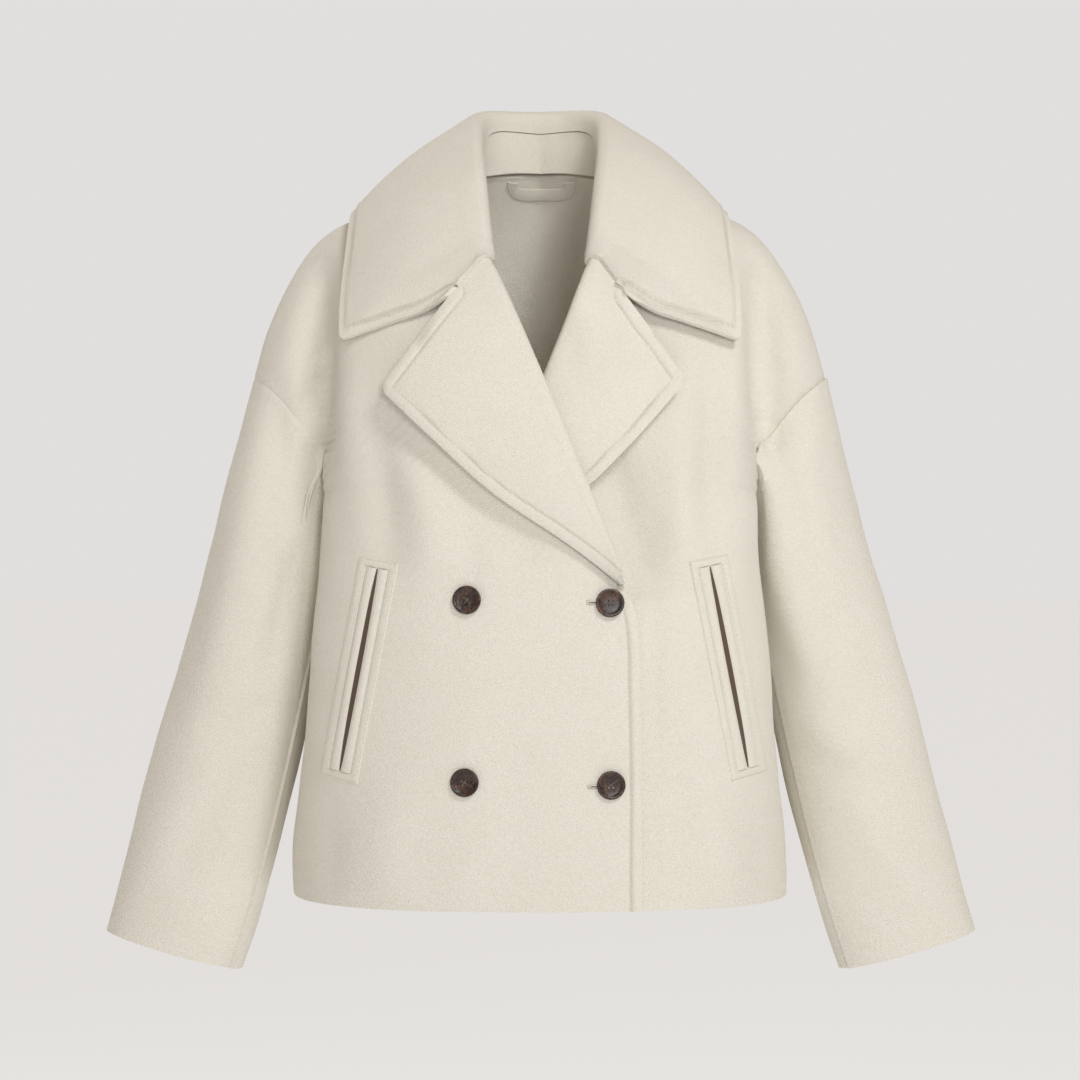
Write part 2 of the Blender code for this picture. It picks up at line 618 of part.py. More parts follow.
def make_sleeves(side, tag, collection):
    """The top sleeve and the under sleeve on one side."""
    grid = sleeve_grid() * (side, 1, 1)
    half = BENT_SEAM / 2
    under = grid[:, FRONT_SEAM_STEP : BACK_SEAM_STEP + 1]
    top = np.concatenate([grid[:, BACK_SEAM_STEP:-1], grid[:, : FRONT_SEAM_STEP + 1]], axis=1)
    for name, piece in ((f"sleeve_top_{tag}", top), (f"sleeve_under_{tag}", under)):
        piece = pulled_in(piece, first_row=ARMHOLE_SEAM / 2, first_column=half, last_column=half)
        cloth_object(name, piece, CLOTH, collection, flip=side == RIGHT)


def lapel_section(place, side):
    """One line of a lapel: flat strip, rolled fold, then the leaf out to its lower edge."""
    height = ROLL_GORGE[1] + (ROLL_BREAK[1] - ROLL_GORGE[1]) * place
    across = float(roll_across(height, side))
    outward = np.array([1.0, -ROLL_SLOPE]) / ROLL_STRETCH
    inside, wall, reach = roll_sizes(place)
    outside = inside + wall
    rows = [(reach, -wall)]
    for step in range(ROLL_STEPS + 1):
        angle = math.pi * (step / ROLL_STEPS - 0.5)
        rows.append((outside - outside * math.cos(angle), inside + outside * math.sin(angle)))
    section = []
    for away, lift in rows:
        x, z = across + away * outward[0], height + away * outward[1]
        section.append(on_panel(x, z, side, lift))
    start = np.array([across, height]) + outside * outward
    edge = LAPEL_EDGE[side]
    spans = np.linalg.norm(np.diff(edge, axis=0), axis=1)
    along = np.concatenate([[0.0], np.cumsum(spans)])
    end = curve_through(along / along[-1], edge, np.array(place))
    fallen = smooth_step(place, 0.0, LAPEL_LIFT_FALLS)
    edge_lift = LAPEL_CORNER_LIFT + (LAPEL_EDGE_LIFT - LAPEL_CORNER_LIFT) * fallen
    edge_lift += (rows[-1][1] - LAPEL_EDGE_LIFT) * smooth_step(place, ROLL_CLOSING, 1.0)
    for step in range(1, LAPEL_LEAF_STEPS + 1):
        part = step / LAPEL_LEAF_STEPS
        x, z = start + (end - start) * part
        lift = rows[-1][1] + (edge_lift - rows[-1][1]) * part
        lift += LAPEL_ARCH * math.sin(math.pi * part) * (1.0 - LAPEL_ARCH_FALLS * place)
        section.append(on_panel(x, z, side, lift))
    return np.array(section)


def lapel_places(side):
    """Places of a lapel's lines, one for each row of the front beside it."""
    places = []
    for row in range(GORGE_ROW, BREAK_ROW - 1, -1):
        height, place = front_row(row, side)[0, 2], 1.0
        for _ in range(PLACE_TRIES):
            strip = roll_sizes(place)[2] * ROLL_SLOPE / ROLL_STRETCH
            place = float(np.clip((height + strip - ROLL_GORGE[1]) / (ROLL_BREAK[1] - ROLL_GORGE[1]), 0.0, 1.0))
        places.append(place)
    return places


def make_lapel(side, name, collection):
    """One lapel, from the gorge to the break of its front."""
    places = lapel_places(side)
    places[0], places[-1] = 0.0, 1.0
    grid = np.array([lapel_section(place, side) for place in places])
    half = SEAM / 2
    grid = pulled_in(grid, first_row=half, first_column=SEAM)
    item = cloth_object(name, grid, DOUBLE_CLOTH, collection, flip=side == LEFT)
    full = item.vertex_groups.new(name="Full wall")
    for line, place in enumerate(places):
        share = (roll_sizes(place)[1] - BREAK_WALL) / (DOUBLE_CLOTH - BREAK_WALL)
        columns = range(line * grid.shape[1], (line + 1) * grid.shape[1])
        full.add(list(columns), share, "REPLACE")
    item.modifiers["Wall"].vertex_group = full.name
    item.modifiers["Wall"].thickness_vertex_group = BREAK_WALL / DOUBLE_CLOTH


def collar_column(name):
    """One column of the collar's table."""
    return [row[COLLAR_COLUMNS.index(name)] for row in COLLAR]


def collar_station(place):
    """Crest, edge, foot and arch of the collar at a place from the back to the gorge."""
    places, crests, edges = collar_column("place"), collar_column("crest"), np.array(collar_column("edge"))
    crest = curve_through(places, crests, np.array(place))
    foot = curve_through(places, collar_column("foot"), np.array(place))
    arch = float(curve_through(places, collar_column("arch"), np.array(place)))
    if place <= COLLAR_CORNER:
        edge = curve_through(places[:-1], edges[:-1], np.array(place))
    else:
        part = (place - COLLAR_CORNER) / (1.0 - COLLAR_CORNER)
        edge = edges[-2] + (edges[-1] - edges[-2]) * part
    ahead = curve_through(places, crests, np.array(min(1.0, place + 0.01)))
    behind = curve_through(places, crests, np.array(max(0.0, place - 0.01)))
    if place == 0:
        behind = ahead * (-1, 1, 1)
    return crest, edge, foot, arch, unit(ahead - behind)


def collar_section(place):
    """The collar's outside at a place: foot, stand seam, fold, then the leaf to its edge."""
    crest, edge, foot, arch, tangent = collar_station(place)
    chord = edge - crest
    outward = unit(chord - (chord @ tangent) * tangent)
    up = np.cross(tangent, outward)
    stand = crest - foot
    start = min(0.0, max(-math.pi / 2, math.atan2(stand @ outward, stand @ up)))
    radius = ROLL_OUTSIDE
    fold = []
    for step in range(ROLL_STEPS + 1):
        angle = start + (math.pi / 2 - start) * step / ROLL_STEPS
        fold.append(crest + (radius - radius * math.cos(angle)) * outward + radius * math.sin(angle) * up)
    rise = fold[0] - foot
    share = min(STAND_SEAM / np.linalg.norm(rise), 0.5)
    seam = fold[0] - rise * share
    leaf = []
    for step in range(1, COLLAR_LEAF_STEPS + 1):
        part = step / COLLAR_LEAF_STEPS
        leaf.append(fold[-1] + (edge - fold[-1]) * part + arch * math.sin(math.pi * part) * up)
    return foot, seam, np.array(fold + leaf)


def gorge_section(side):
    """The collar's last line, which follows the lapel's top edge as far as the notch."""
    line = lapel_section(0.0, side)
    rolled = ROLL_STEPS + 2
    leaf = resample(line[rolled - 1 :], np.linspace(0.0, GORGE_SHARE, COLLAR_LEAF_STEPS + 1))
    return np.concatenate([line[:rolled], leaf[1:]]) * (side, 1, 1)


def make_collar(collection):
    """The stand and the fall."""
    fall, stand = [], []
    for place in COLLAR_PLACES + COLLAR_FRONT_PLACES[:-1]:
        foot, seam, line = collar_section(place)
        fall.append(np.concatenate([[seam], line]))
        stand.append(foot + (seam - foot) * np.linspace(0.0, 1.0, STAND_STEPS + 1)[:, None])
    right = np.array(fall + [gorge_section(RIGHT)])
    left = np.array(fall + [gorge_section(LEFT)])
    fall = np.concatenate([right[:0:-1] * (-1, 1, 1), left])
    stand = np.array(stand)
    stand = np.concatenate([stand[:0:-1] * (-1, 1, 1), stand])
    half = SEAM / 2
    fall = pulled_in(fall, first_row=half, last_row=half, first_column=SHOULDER_SEAM / 2)
    stand = pulled_in(stand, first_column=SEAM, last_column=SEAM)
    cloth_object("collar_fall", fall, DOUBLE_CLOTH, collection)
    cloth_object("collar_stand", stand, CLOTH, collection)


def pocket_point(along, across, lift, side):
    """A point of a pocket from its length share, its distance from the slit and its lift."""
    top, foot = np.array(POCKET_TOP[side]), np.array(POCKET_FOOT[side])
    direction = unit(foot - top)
    sideways = np.array([-direction[1], direction[0]])
    x, z = top + (foot - top) * along + sideways * across
    return on_panel(x, z, side, lift)


def make_frame(side, name, collection):
    """The raised border that is stitched round a pocket."""
    length = np.linalg.norm(np.subtract(POCKET_FOOT[side], POCKET_TOP[side]))
    long_part = np.linspace(0.0, 1.0, FRAME_STEPS + 1)
    short_part = np.linspace(1.0, -1.0, FRAME_END_STEPS + 1)[1:-1]
    outer_half, inner_half = POCKET_WIDTH / 2, POCKET_WIDTH / 2 - FRAME_BORDER
    lift = FRAME_AWAY + FRAME_THICK
    lines = []
    for half, inset in ((outer_half, 0.0), (inner_half, FRAME_BORDER / length)):
        share = inset + long_part * (1.0 - 2 * inset)
        ring = [(part, half) for part in share]
        ring += [(share[-1], half * part) for part in short_part]
        ring += [(part, -half) for part in share[::-1]]
        ring += [(share[0], -half * part) for part in short_part]
        lines.append(np.array([pocket_point(part, across, lift, side) for part, across in ring]))
    count = len(lines[0])
    faces = []
    for step in range(count):
        after = (step + 1) % count
        quad = (step, after, count + after, count + step)
        faces.append(quad if side == RIGHT else quad[::-1])
    item = mesh_object(name, np.concatenate(lines), faces, collection)
    add_wall(item, FRAME_THICK)


def make_welt(side, toward, name, collection):
    """One lip of a pocket, rounded across, with the slit along its inner edge."""
    length = np.linalg.norm(np.subtract(POCKET_FOOT[side], POCKET_TOP[side]))
    inset = (FRAME_BORDER + SEAM) / length
    outer = POCKET_WIDTH / 2 - FRAME_BORDER - SEAM
    lines = []
    for part in np.linspace(0.0, 1.0, FRAME_STEPS + 1):
        gap = 2 * SEAM + SLIT_WIDTH / 2 * math.sin(math.pi * part) ** 0.5
        line = []
        for share, lift in ((0.0, WELT_WALL), (0.25, WELT_THICK), (0.75, WELT_THICK), (1.0, WELT_WALL)):
            across = toward * (gap + (outer - gap) * share)
            line.append(pocket_point(inset + part * (1 - 2 * inset), across, FRAME_AWAY + lift, side))
        lines.append(line)
    flip = (side == LEFT) != (toward > 0)
    cloth_object(name, np.array(lines), WELT_WALL, collection, flip=flip)


def make_hole_cutters(collection):
    """Four upright pins for the holes of a button, as one mesh at the origin."""
    mesh = bpy.data.meshes.new("hole_cutter")
    pins = bmesh.new()
    for turn in range(4):
        angle = math.pi / 4 + turn * math.pi / 2
        away = BUTTON_HOLE_CIRCLE * MM
        made = bmesh.ops.create_cone(
            pins,
            cap_ends=True,
            segments=8,
            radius1=BUTTON_HOLE_RADIUS * MM,
            radius2=BUTTON_HOLE_RADIUS * MM,
            depth=4 * BUTTON_TOP * MM,
        )
        bmesh.ops.translate(pins, verts=made["verts"], vec=(away * math.cos(angle), away * math.sin(angle), 0))
    pins.to_mesh(mesh)
    pins.free()
    cutter = bpy.data.objects.new("hole_cutter", mesh)
    cutter.display_type = "WIRE"
    cutter.hide_render = True
    collection.objects.link(cutter)
    return cutter


def make_button(number, place, parts, cutters):
    """A dished button with four holes, standing just off the cloth."""
    side = RIGHT
    across, height = side * place[0], place[1]
    normal = Vector(panel_normals(across, height, side, FRONT))
    seat = Vector(on_panel(across, height, side, BUTTON_STAND_OFF)) * MM
    profile = [(radius * BUTTON_RADIUS * MM, 0.0, rise * MM) for radius, rise in BUTTON_PROFILE[::-1]]
    edges = [(step, step + 1) for step in range(len(profile) - 1)]
    name = f"button_{number}"
    mesh = bpy.data.meshes.new(name)
    mesh.from_pydata(profile, edges, [])
    mesh.materials.append(new_material(f"{name} horn", HORN, HORN_ROUGHNESS))
    button = bpy.data.objects.new(name, mesh)
    parts.objects.link(button)
    button.location = seat
    button.rotation_euler = normal.to_track_quat("Z", "Y").to_euler()
    turned = button.modifiers.new("Turned", "SCREW")
    turned.steps = BUTTON_SIDES
    turned.render_steps = BUTTON_SIDES
    turned.use_merge_vertices = True
    turned.merge_threshold = 1e-5
    cutter = make_hole_cutters(cutters)
    cutter.name = f"button_{number}_holes"
    cutter.parent = button
    holes = button.modifiers.new("Holes", "BOOLEAN")
    holes.object = cutter
    holes.operation = "DIFFERENCE"
    holes.solver = "EXACT"


def make_loop(collection):
    """The band of the hanger loop, from seam to seam under the back of the neck."""
    middle = sum(LOOP_ENDS) / 2
    half = (LOOP_ENDS[1] - LOOP_ENDS[0] - LOOP_BAND) / 2
    path = [(-half, LOOP_HEIGHT)]
    for step in range(LOOP_CORNER_STEPS + 1):
        angle = math.pi / 2 * step / LOOP_CORNER_STEPS
        side_way = LOOP_CORNER * (1.0 - math.cos(angle)) - half
        path.append((side_way, LOOP_LOW + LOOP_CORNER * (1.0 - math.sin(angle))))
    path.append((0.0, LOOP_LOW))
    path += [(-x, z) for x, z in path[-2::-1]]
    path = np.array(path)
    ahead = unit(np.gradient(path, axis=0))
    sideways = np.stack([-ahead[:, 1], ahead[:, 0]], axis=1)
    lines = []
    for share, bulge in ((-0.5, 0.0), (0.0, LOOP_BULGE), (0.5, 0.0)):
        line = path + sideways * LOOP_BAND * share
        depth = CLOTH + LOOP_AWAY + LOOP_THICK + bulge
        lines.append(on_panel(middle + line[:, 0], line[:, 1], LEFT, np.full(len(line), -depth), BACK))
    cloth_object("hanger_loop", np.array(lines), LOOP_THICK, collection)


def main():
    """Builds the coat's pieces in one collection and the cutters in another."""
    for item in list(bpy.data.objects):
        bpy.data.objects.remove(item, do_unlink=True)
    parts = new_collection("double_breasted_coat")
    cutters = new_collection("cutters", helper=True)
    make_back("back", parts)
    make_collar(parts)
    make_loop(parts)
    for side, tag in ((RIGHT, "right"), (LEFT, "left")):
        make_front(side, f"front_{tag}", parts)
        make_lapel(side, f"lapel_{tag}", parts)
        make_sleeves(side, tag, parts)
        make_frame(side, f"pocket_frame_{tag}", parts)
        make_welt(side, -1, f"welt_{tag}_centre", parts)
        make_welt(side, 1, f"welt_{tag}_side", parts)
    for number, place in enumerate(BUTTONS, start=1):
        make_button(number, place, parts, cutters)


main()
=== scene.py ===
"""The looks of a short double-breasted coat in thick cream wool.

Every piece of cloth starts from the outside of its own solid. The solid's points are read back as
rows and columns, drawn finer with smooth curves, and moved in or out for creases, stitched edges
and seams. Then the cloth gets its thickness. Sizes in tables and fields are millimetres.
"""

from __future__ import annotations

import logging
import math
from dataclasses import dataclass, field
from enum import Enum

import bmesh
import bpy
import numpy as np
from bmesh.types import BMesh, BMFace
from bpy.types import ID, Material, Node, NodeSocket, NodeTree, Object
from mathutils import Matrix, Vector
from mathutils.bvhtree import BVHTree
from mathutils.kdtree import KDTree


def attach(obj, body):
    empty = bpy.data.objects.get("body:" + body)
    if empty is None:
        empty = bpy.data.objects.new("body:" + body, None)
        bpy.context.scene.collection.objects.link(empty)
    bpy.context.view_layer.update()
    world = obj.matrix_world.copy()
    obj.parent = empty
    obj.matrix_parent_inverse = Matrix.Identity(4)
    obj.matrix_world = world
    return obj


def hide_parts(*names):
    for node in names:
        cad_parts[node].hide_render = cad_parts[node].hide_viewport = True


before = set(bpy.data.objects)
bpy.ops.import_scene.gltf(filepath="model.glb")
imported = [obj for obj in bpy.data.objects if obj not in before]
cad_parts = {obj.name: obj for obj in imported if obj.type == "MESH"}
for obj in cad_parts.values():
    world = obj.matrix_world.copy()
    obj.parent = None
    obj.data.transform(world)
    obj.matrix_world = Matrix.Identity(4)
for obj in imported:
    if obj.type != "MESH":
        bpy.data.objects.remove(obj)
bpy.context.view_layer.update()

LOG = logging.getLogger("coat")
MM = 0.001
BODY = "root"
SIDE_Y = 16.0  # the side seam and the sleeve's middle, front to back
MERGE = 2e-5  # points nearer to each other than this are one, in metres
SHARP_TRIES = (62, 56, 50, 68, 47, 75)  # degrees, one of which parts the outside from the rim
DENSE = 2000  # places at which the spacing of new rows is reckoned
CORNER_FADE = 3  # columns over which a corner of the last one fades
CORNER_REACH = 14  # points from a corner to those that give its two sides
FAR = 30.0  # distances from edges and seams are reckoned up to this
PATH_STEP = 0.7
FINE_STEP = 0.3
CALM = 0.5  # share of the slow waves that reaches doubled cloth
FINE_EDGE = (2.0, 14.0)  # spacing near an edge that needs it, and how far that reaches
PULL_ROW = 3  # the row that gives the direction in which an edge is drawn past its seam
NEAR_EDGE = 2.0  # a stitched line starts where the border's edge is nearer than this
UP, DOWN, ACROSS = (0.0, 0.0, 1.0), (0.0, 0.0, -1.0), (1.0, 0.0, 0.0)
WHITE = (1.0, 1.0, 1.0)

Spot = tuple[float, float]
Point = tuple[float, float, float]
Line = tuple[np.ndarray, np.ndarray]  # a line's points and the outward directions there


class Side(Enum):
    """The wearer's right is at -X."""

    RIGHT = -1
    LEFT = 1

    @property
    def tag(self) -> str:
        """The word that ends a piece's name."""
        return self.name.lower()


class Edge(Enum):
    """The four edges of a grid: (axis, place)."""

    FIRST_ROW = (0, 0)
    LAST_ROW = (0, -1)
    FIRST_COLUMN = (1, 0)
    LAST_COLUMN = (1, -1)


class Face(Enum):
    """Which half of the coat a crease lies on."""

    FRONT = -1
    BACK = 1


# --- Numbers and curves ----------------------------------------------------------------------
def smooth_step(value: np.ndarray | float, low: float, high: float) -> np.ndarray:
    """0 at low, 1 at high and a smooth ramp between them."""
    part = np.clip((np.asarray(value, float) - low) / (high - low), 0.0, 1.0)
    return part * part * (3.0 - 2.0 * part)


def unit(vectors: np.ndarray) -> np.ndarray:
    """Vectors of length 1."""
    return vectors / np.maximum(np.linalg.norm(vectors, axis=-1, keepdims=True), 1e-9)


def curve_through(knots: np.ndarray, values: np.ndarray, at: np.ndarray) -> np.ndarray:
    """A smooth curve through a row of values.

    Args:
        knots: Where the values lie, rising.
        values: One value or point for each knot, along the first axis.
        at: Where the curve is wanted.

    Returns:
        The curve's values, one for each place in at.
    """
    slopes = np.gradient(values, knots, axis=0, edge_order=2 if len(knots) > 2 else 1)
    index = np.clip(np.searchsorted(knots, at, side="right") - 1, 0, len(knots) - 2)
    shape = (-1,) + (1,) * (values.ndim - 1)
    span = (knots[index + 1] - knots[index]).reshape(shape)
    part = (at - knots[index]).reshape(shape) / span
    start = values[index] * (1 + 2 * part) * (1 - part) ** 2
    start = start + slopes[index] * span * part * (1 - part) ** 2
    end = values[index + 1] * part**2 * (3 - 2 * part)
    return start + end + slopes[index + 1] * span * part**2 * (part - 1)


def running(steps: np.ndarray) -> np.ndarray:
    """0, and the sum of the steps up to the end of each."""
    return np.concatenate([[0.0], np.cumsum(steps)])


def path_length(points: np.ndarray) -> np.ndarray:
    """Length along a polyline up to each of its points."""
    return running(np.linalg.norm(np.diff(points, axis=0), axis=1))


def grid_length(grid: np.ndarray, axis: int) -> np.ndarray:
    """Mean length over a grid up to each of its rows (axis 0) or columns (axis 1)."""
    return running(np.linalg.norm(np.diff(grid, axis=axis), axis=2).mean(axis=1 - axis))


def read_off(values: np.ndarray, length: np.ndarray, at: np.ndarray) -> np.ndarray:
    """Rows of values at places along a line, where length is the place of each row."""
    return np.stack([np.interp(at, length, column) for column in values.T], axis=1)


def spaced(path: np.ndarray, spacing: float) -> np.ndarray:
    """A polyline's points again, at even steps.

    Args:
        path: The points.
        spacing: About the length of a step.

    Returns:
        The new points.
    """
    length = path_length(path)
    count = max(2, round(length[-1] / spacing) + 1)
    return read_off(path, length, np.linspace(0.0, length[-1], count))


# --- Reading a solid's outside back as rows and columns --------------------------------------
@dataclass(frozen=True)
class GridPlan:
    """What is known of the grid that a cloth solid was made from.

    Args:
        node: The solid's name.
        rows: Number of rows.
        columns: Number of points in a row.
        row_way: Direction in which the rows follow each other.
        column_way: Direction in which the points of a row follow each other.
    """

    node: str
    rows: int
    columns: int
    row_way: Point
    column_way: Point

    def outside(self) -> tuple[np.ndarray, float]:
        """The grid of the solid's outside.

        Returns:
            Points in millimetres, rows by columns by 3, and 1 where columns crossed with rows
            points out of the cloth, or -1.
        """
        shape = bmesh.new()
        shape.from_mesh(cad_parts[self.node].data)
        bmesh.ops.remove_doubles(shape, verts=shape.verts, dist=MERGE)
        shape.normal_update()
        faces = self._sheet(shape)
        numbers = self._walk([[vertex.index for vertex in face.verts] for face in faces])
        shape.verts.ensure_lookup_table()
        grid = np.array([[shape.verts[i].co[:] for i in row] for row in numbers]) / MM
        shape.free()
        out = 1.0
        if (grid[-1].mean(axis=0) - grid[0].mean(axis=0)) @ np.array(self.row_way) < 0:
            grid, out = grid[::-1], -out
        if (grid[:, -1].mean(axis=0) - grid[:, 0].mean(axis=0)) @ np.array(self.column_way) < 0:
            grid, out = grid[:, ::-1], -out
        return grid, out

    def _sheet(self, shape: BMesh) -> list[BMFace]:
        """Finds the outside, told from the rim by the sharp edge between them.

        Args:
            shape: The solid's mesh.

        Returns:
            The outside's faces.
        """
        shape.verts.index_update()
        for sharp in SHARP_TRIES:
            found = []
            for group in face_groups(shape, math.radians(sharp)):
                inside = {vertex for face in group for vertex in face.verts}
                if len(inside) == self.rows * self.columns:
                    found.append([face for face in shape.faces if inside.issuperset(face.verts)])
            if found:
                return max(found, key=lambda group: sum(face.calc_area() for face in group))
        raise ValueError(f"{self.node} has no sheet of {self.rows} by {self.columns} points")

    def _walk(self, triangles: list[list[int]]) -> list[list[int]]:
        """Walks over the triangles from a corner, row by row.

        Args:
            triangles: Vertex numbers of each triangle.

        Returns:
            Vertex numbers of each row.
        """
        apex = {}
        for a, b, c in triangles:
            apex[a, b], apex[b, c], apex[c, a] = c, a, b
        after = {a: b for a, b in apex if (b, a) not in apex}
        for start in after:
            rows = self._walk_from(start, apex, after)
            if rows is not None:
                return rows
        raise ValueError(f"{self.node} isn't a grid of {self.rows} by {self.columns} points")

    def _walk_from(
        self, start: int, apex: dict[tuple[int, int], int], after: dict[int, int]
    ) -> list[list[int]] | None:
        """Tries one vertex as the corner.

        Args:
            start: The vertex.
            apex: The third vertex of the triangle on each edge, in its direction.
            after: The next vertex along the outline.

        Returns:
            The rows, or None if it isn't the corner.
        """
        before = {b: a for a, b in after.items()}
        rows = [[start]]
        while len(rows[0]) < self.columns:
            rows[0].append(after[rows[0][-1]])
        seen = set(rows[0])
        while len(rows) < self.rows:
            above = [before[rows[-1][0]]]
            for left, right in zip(rows[-1], rows[-1][1:]):
                third = apex.get((left, right))
                if third == above[-1]:
                    third = apex.get((above[-1], right))
                elif apex.get((left, third)) != above[-1]:
                    return None
                above.append(third)
            if None in above or seen & set(above) or len(set(above)) < self.columns:
                return None
            seen |= set(above)
            rows.append(above)
        return rows


def face_groups(shape: BMesh, sharp: float) -> list[list[BMFace]]:
    """Sorts faces into groups that hang together over soft edges.

    Args:
        shape: The mesh.
        sharp: The angle from which an edge parts two groups.

    Returns:
        The faces of each group.
    """
    seen, groups = set(), []
    for first in shape.faces:
        if first in seen:
            continue
        seen.add(first)
        group, ahead = [], [first]
        while ahead:
            face = ahead.pop()
            group.append(face)
            for edge in face.edges:
                if edge.calc_face_angle(0.0) > sharp:
                    continue
                for other in edge.link_faces:
                    if other not in seen:
                        seen.add(other)
                        ahead.append(other)
        groups.append(group)
    return groups


def refined(
    grid: np.ndarray,
    axis: int,
    spacing: float,
    fine: dict[int, tuple[float, float]],
    corners: tuple[int, ...] = (),
) -> np.ndarray:
    """The grid with more rows or columns, on smooth curves through its points.

    Args:
        grid: Points in millimetres.
        axis: 0 for more rows, 1 for more columns.
        spacing: Distance between the new ones.
        fine: Finer spacing near an end: {0 or -1: (spacing, reach)}.
        corners: Rows at which the last column has a corner.

    Returns:
        The finer grid.
    """
    knots = grid_length(grid, axis)
    dense = np.linspace(0.0, knots[-1], DENSE)
    density = np.full_like(dense, 1.0 / spacing)
    for end, (close, reach) in fine.items():
        away = dense if end == 0 else knots[-1] - dense
        near = 1.0 - smooth_step(away, reach * 0.7, reach * 1.3)
        density += (1.0 / close - 1.0 / spacing) * near
    count = running((density[1:] + density[:-1]) / 2 * np.diff(dense))
    steps = max(2, math.ceil(count[-1]))
    at = np.interp(np.linspace(0.0, count[-1], steps + 1), count, dense)
    if corners:
        at[[int(np.argmin(np.abs(at - knots[row]))) for row in corners]] = knots[list(corners)]
    lines = np.moveaxis(grid, axis, 0)
    smooth = curve_through(knots, lines, at)
    if corners:
        bent = smooth.copy()
        for start, stop in zip((0, *corners), (*corners, len(knots) - 1)):
            inside = (at >= knots[start]) & (at <= knots[stop])
            part = slice(start, stop + 1)
            bent[inside] = curve_through(knots[part], lines[part], at[inside])
        last = lines.shape[1] - 1
        share = smooth_step(np.arange(last + 1), last - CORNER_FADE, last)
        smooth += (bent - smooth) * share[:, None]
    return np.moveaxis(smooth, 0, axis)


def grid_normals(grid: np.ndarray, out: float) -> np.ndarray:
    """Outward directions at a grid's points."""
    along, onward = np.gradient(grid, axis=1), np.gradient(grid, axis=0)
    return unit(np.cross(along, onward)) * out


def cells(grid: np.ndarray) -> np.ndarray:
    """Numbers the points of a grid, cell by cell.

    Args:
        grid: The points.

    Returns:
        The numbers of the four points round each cell.
    """
    number = np.arange(grid.shape[0] * grid.shape[1]).reshape(grid.shape[:2])
    corners = (number[:-1, :-1], number[:-1, 1:], number[1:, 1:], number[1:, :-1])
    return np.stack(corners, axis=-1).reshape(-1, 4)


def border(grid: np.ndarray, edge: Edge) -> np.ndarray:
    """The points of one edge of a grid."""
    axis, place = edge.value
    return grid.swapaxes(0, axis)[place]


def nearest_on(path: np.ndarray, points: np.ndarray) -> np.ndarray:
    """Finds the path's point that lies nearest to each point.

    Args:
        path: A polyline.
        points: Rows of points.

    Returns:
        A point of the path for each of them.
    """
    path = spaced(path, FINE_STEP)
    away = np.linalg.norm(points[:, None] - path, axis=2)
    return path[np.argmin(away, axis=1)]


def distance_to(points: np.ndarray, path: np.ndarray) -> np.ndarray:
    """Measures how far points are from a polyline.

    Args:
        points: The points, in any arrangement.
        path: The polyline.

    Returns:
        The distances in the same arrangement, none above FAR.
    """
    path = spaced(path, PATH_STEP)
    tree = KDTree(len(path))
    for number, point in enumerate(path):
        tree.insert(point, number)
    tree.balance()
    flat = points.reshape(-1, 3)
    near = np.all((flat > path.min(axis=0) - FAR) & (flat < path.max(axis=0) + FAR), axis=1)
    found = np.full(len(flat), FAR)
    for number in np.nonzero(near)[0]:
        found[number] = min(FAR, tree.find(flat[number])[2])
    return found.reshape(points.shape[:-1])


# --- Creases ---------------------------------------------------------------------------------
@dataclass(frozen=True)
class Crease:
    """A soft trough or ridge along a curve, seen from the front or from behind.

    Args:
        face: The half of the coat that it lies on.
        line: Points (x, z) from one end to the other.
        width: Distance from its middle at which it has mostly faded.
        lift: Height of the ridge, or less than 0 for a trough.
        steps: Number of points that its curve is drawn with.
        taper: How soon it fades towards its ends.
        fades_from: Where it begins and is full, front to back from the side seam.
    """

    face: Face
    line: tuple[Spot, ...]
    width: float
    lift: float
    steps: int = 26
    taper: float = 0.7
    fades_from: Spot = (-4.0, 22.0)

    def at(self, points: np.ndarray) -> np.ndarray:
        """Reckons what it does to points of the cloth.

        Args:
            points: The points.

        Returns:
            How far each is lifted.
        """
        line = np.array(self.line)
        knots = path_length(line)
        part = np.linspace(0.0, 1.0, self.steps)
        path = curve_through(knots, line, part * knots[-1])
        away = np.linalg.norm(points[..., None, (0, 2)] - path, axis=-1)
        nearest = np.argmin(away, axis=-1)
        fading = np.sin(np.pi * np.clip(part[nearest], 0.02, 0.98)) ** self.taper
        least = np.take_along_axis(away, nearest[..., None], axis=-1)[..., 0]
        half = smooth_step((points[..., 1] - SIDE_Y) * self.face.value, *self.fades_from)
        return self.lift * fading * np.exp(-((least / self.width) ** 2)) * half


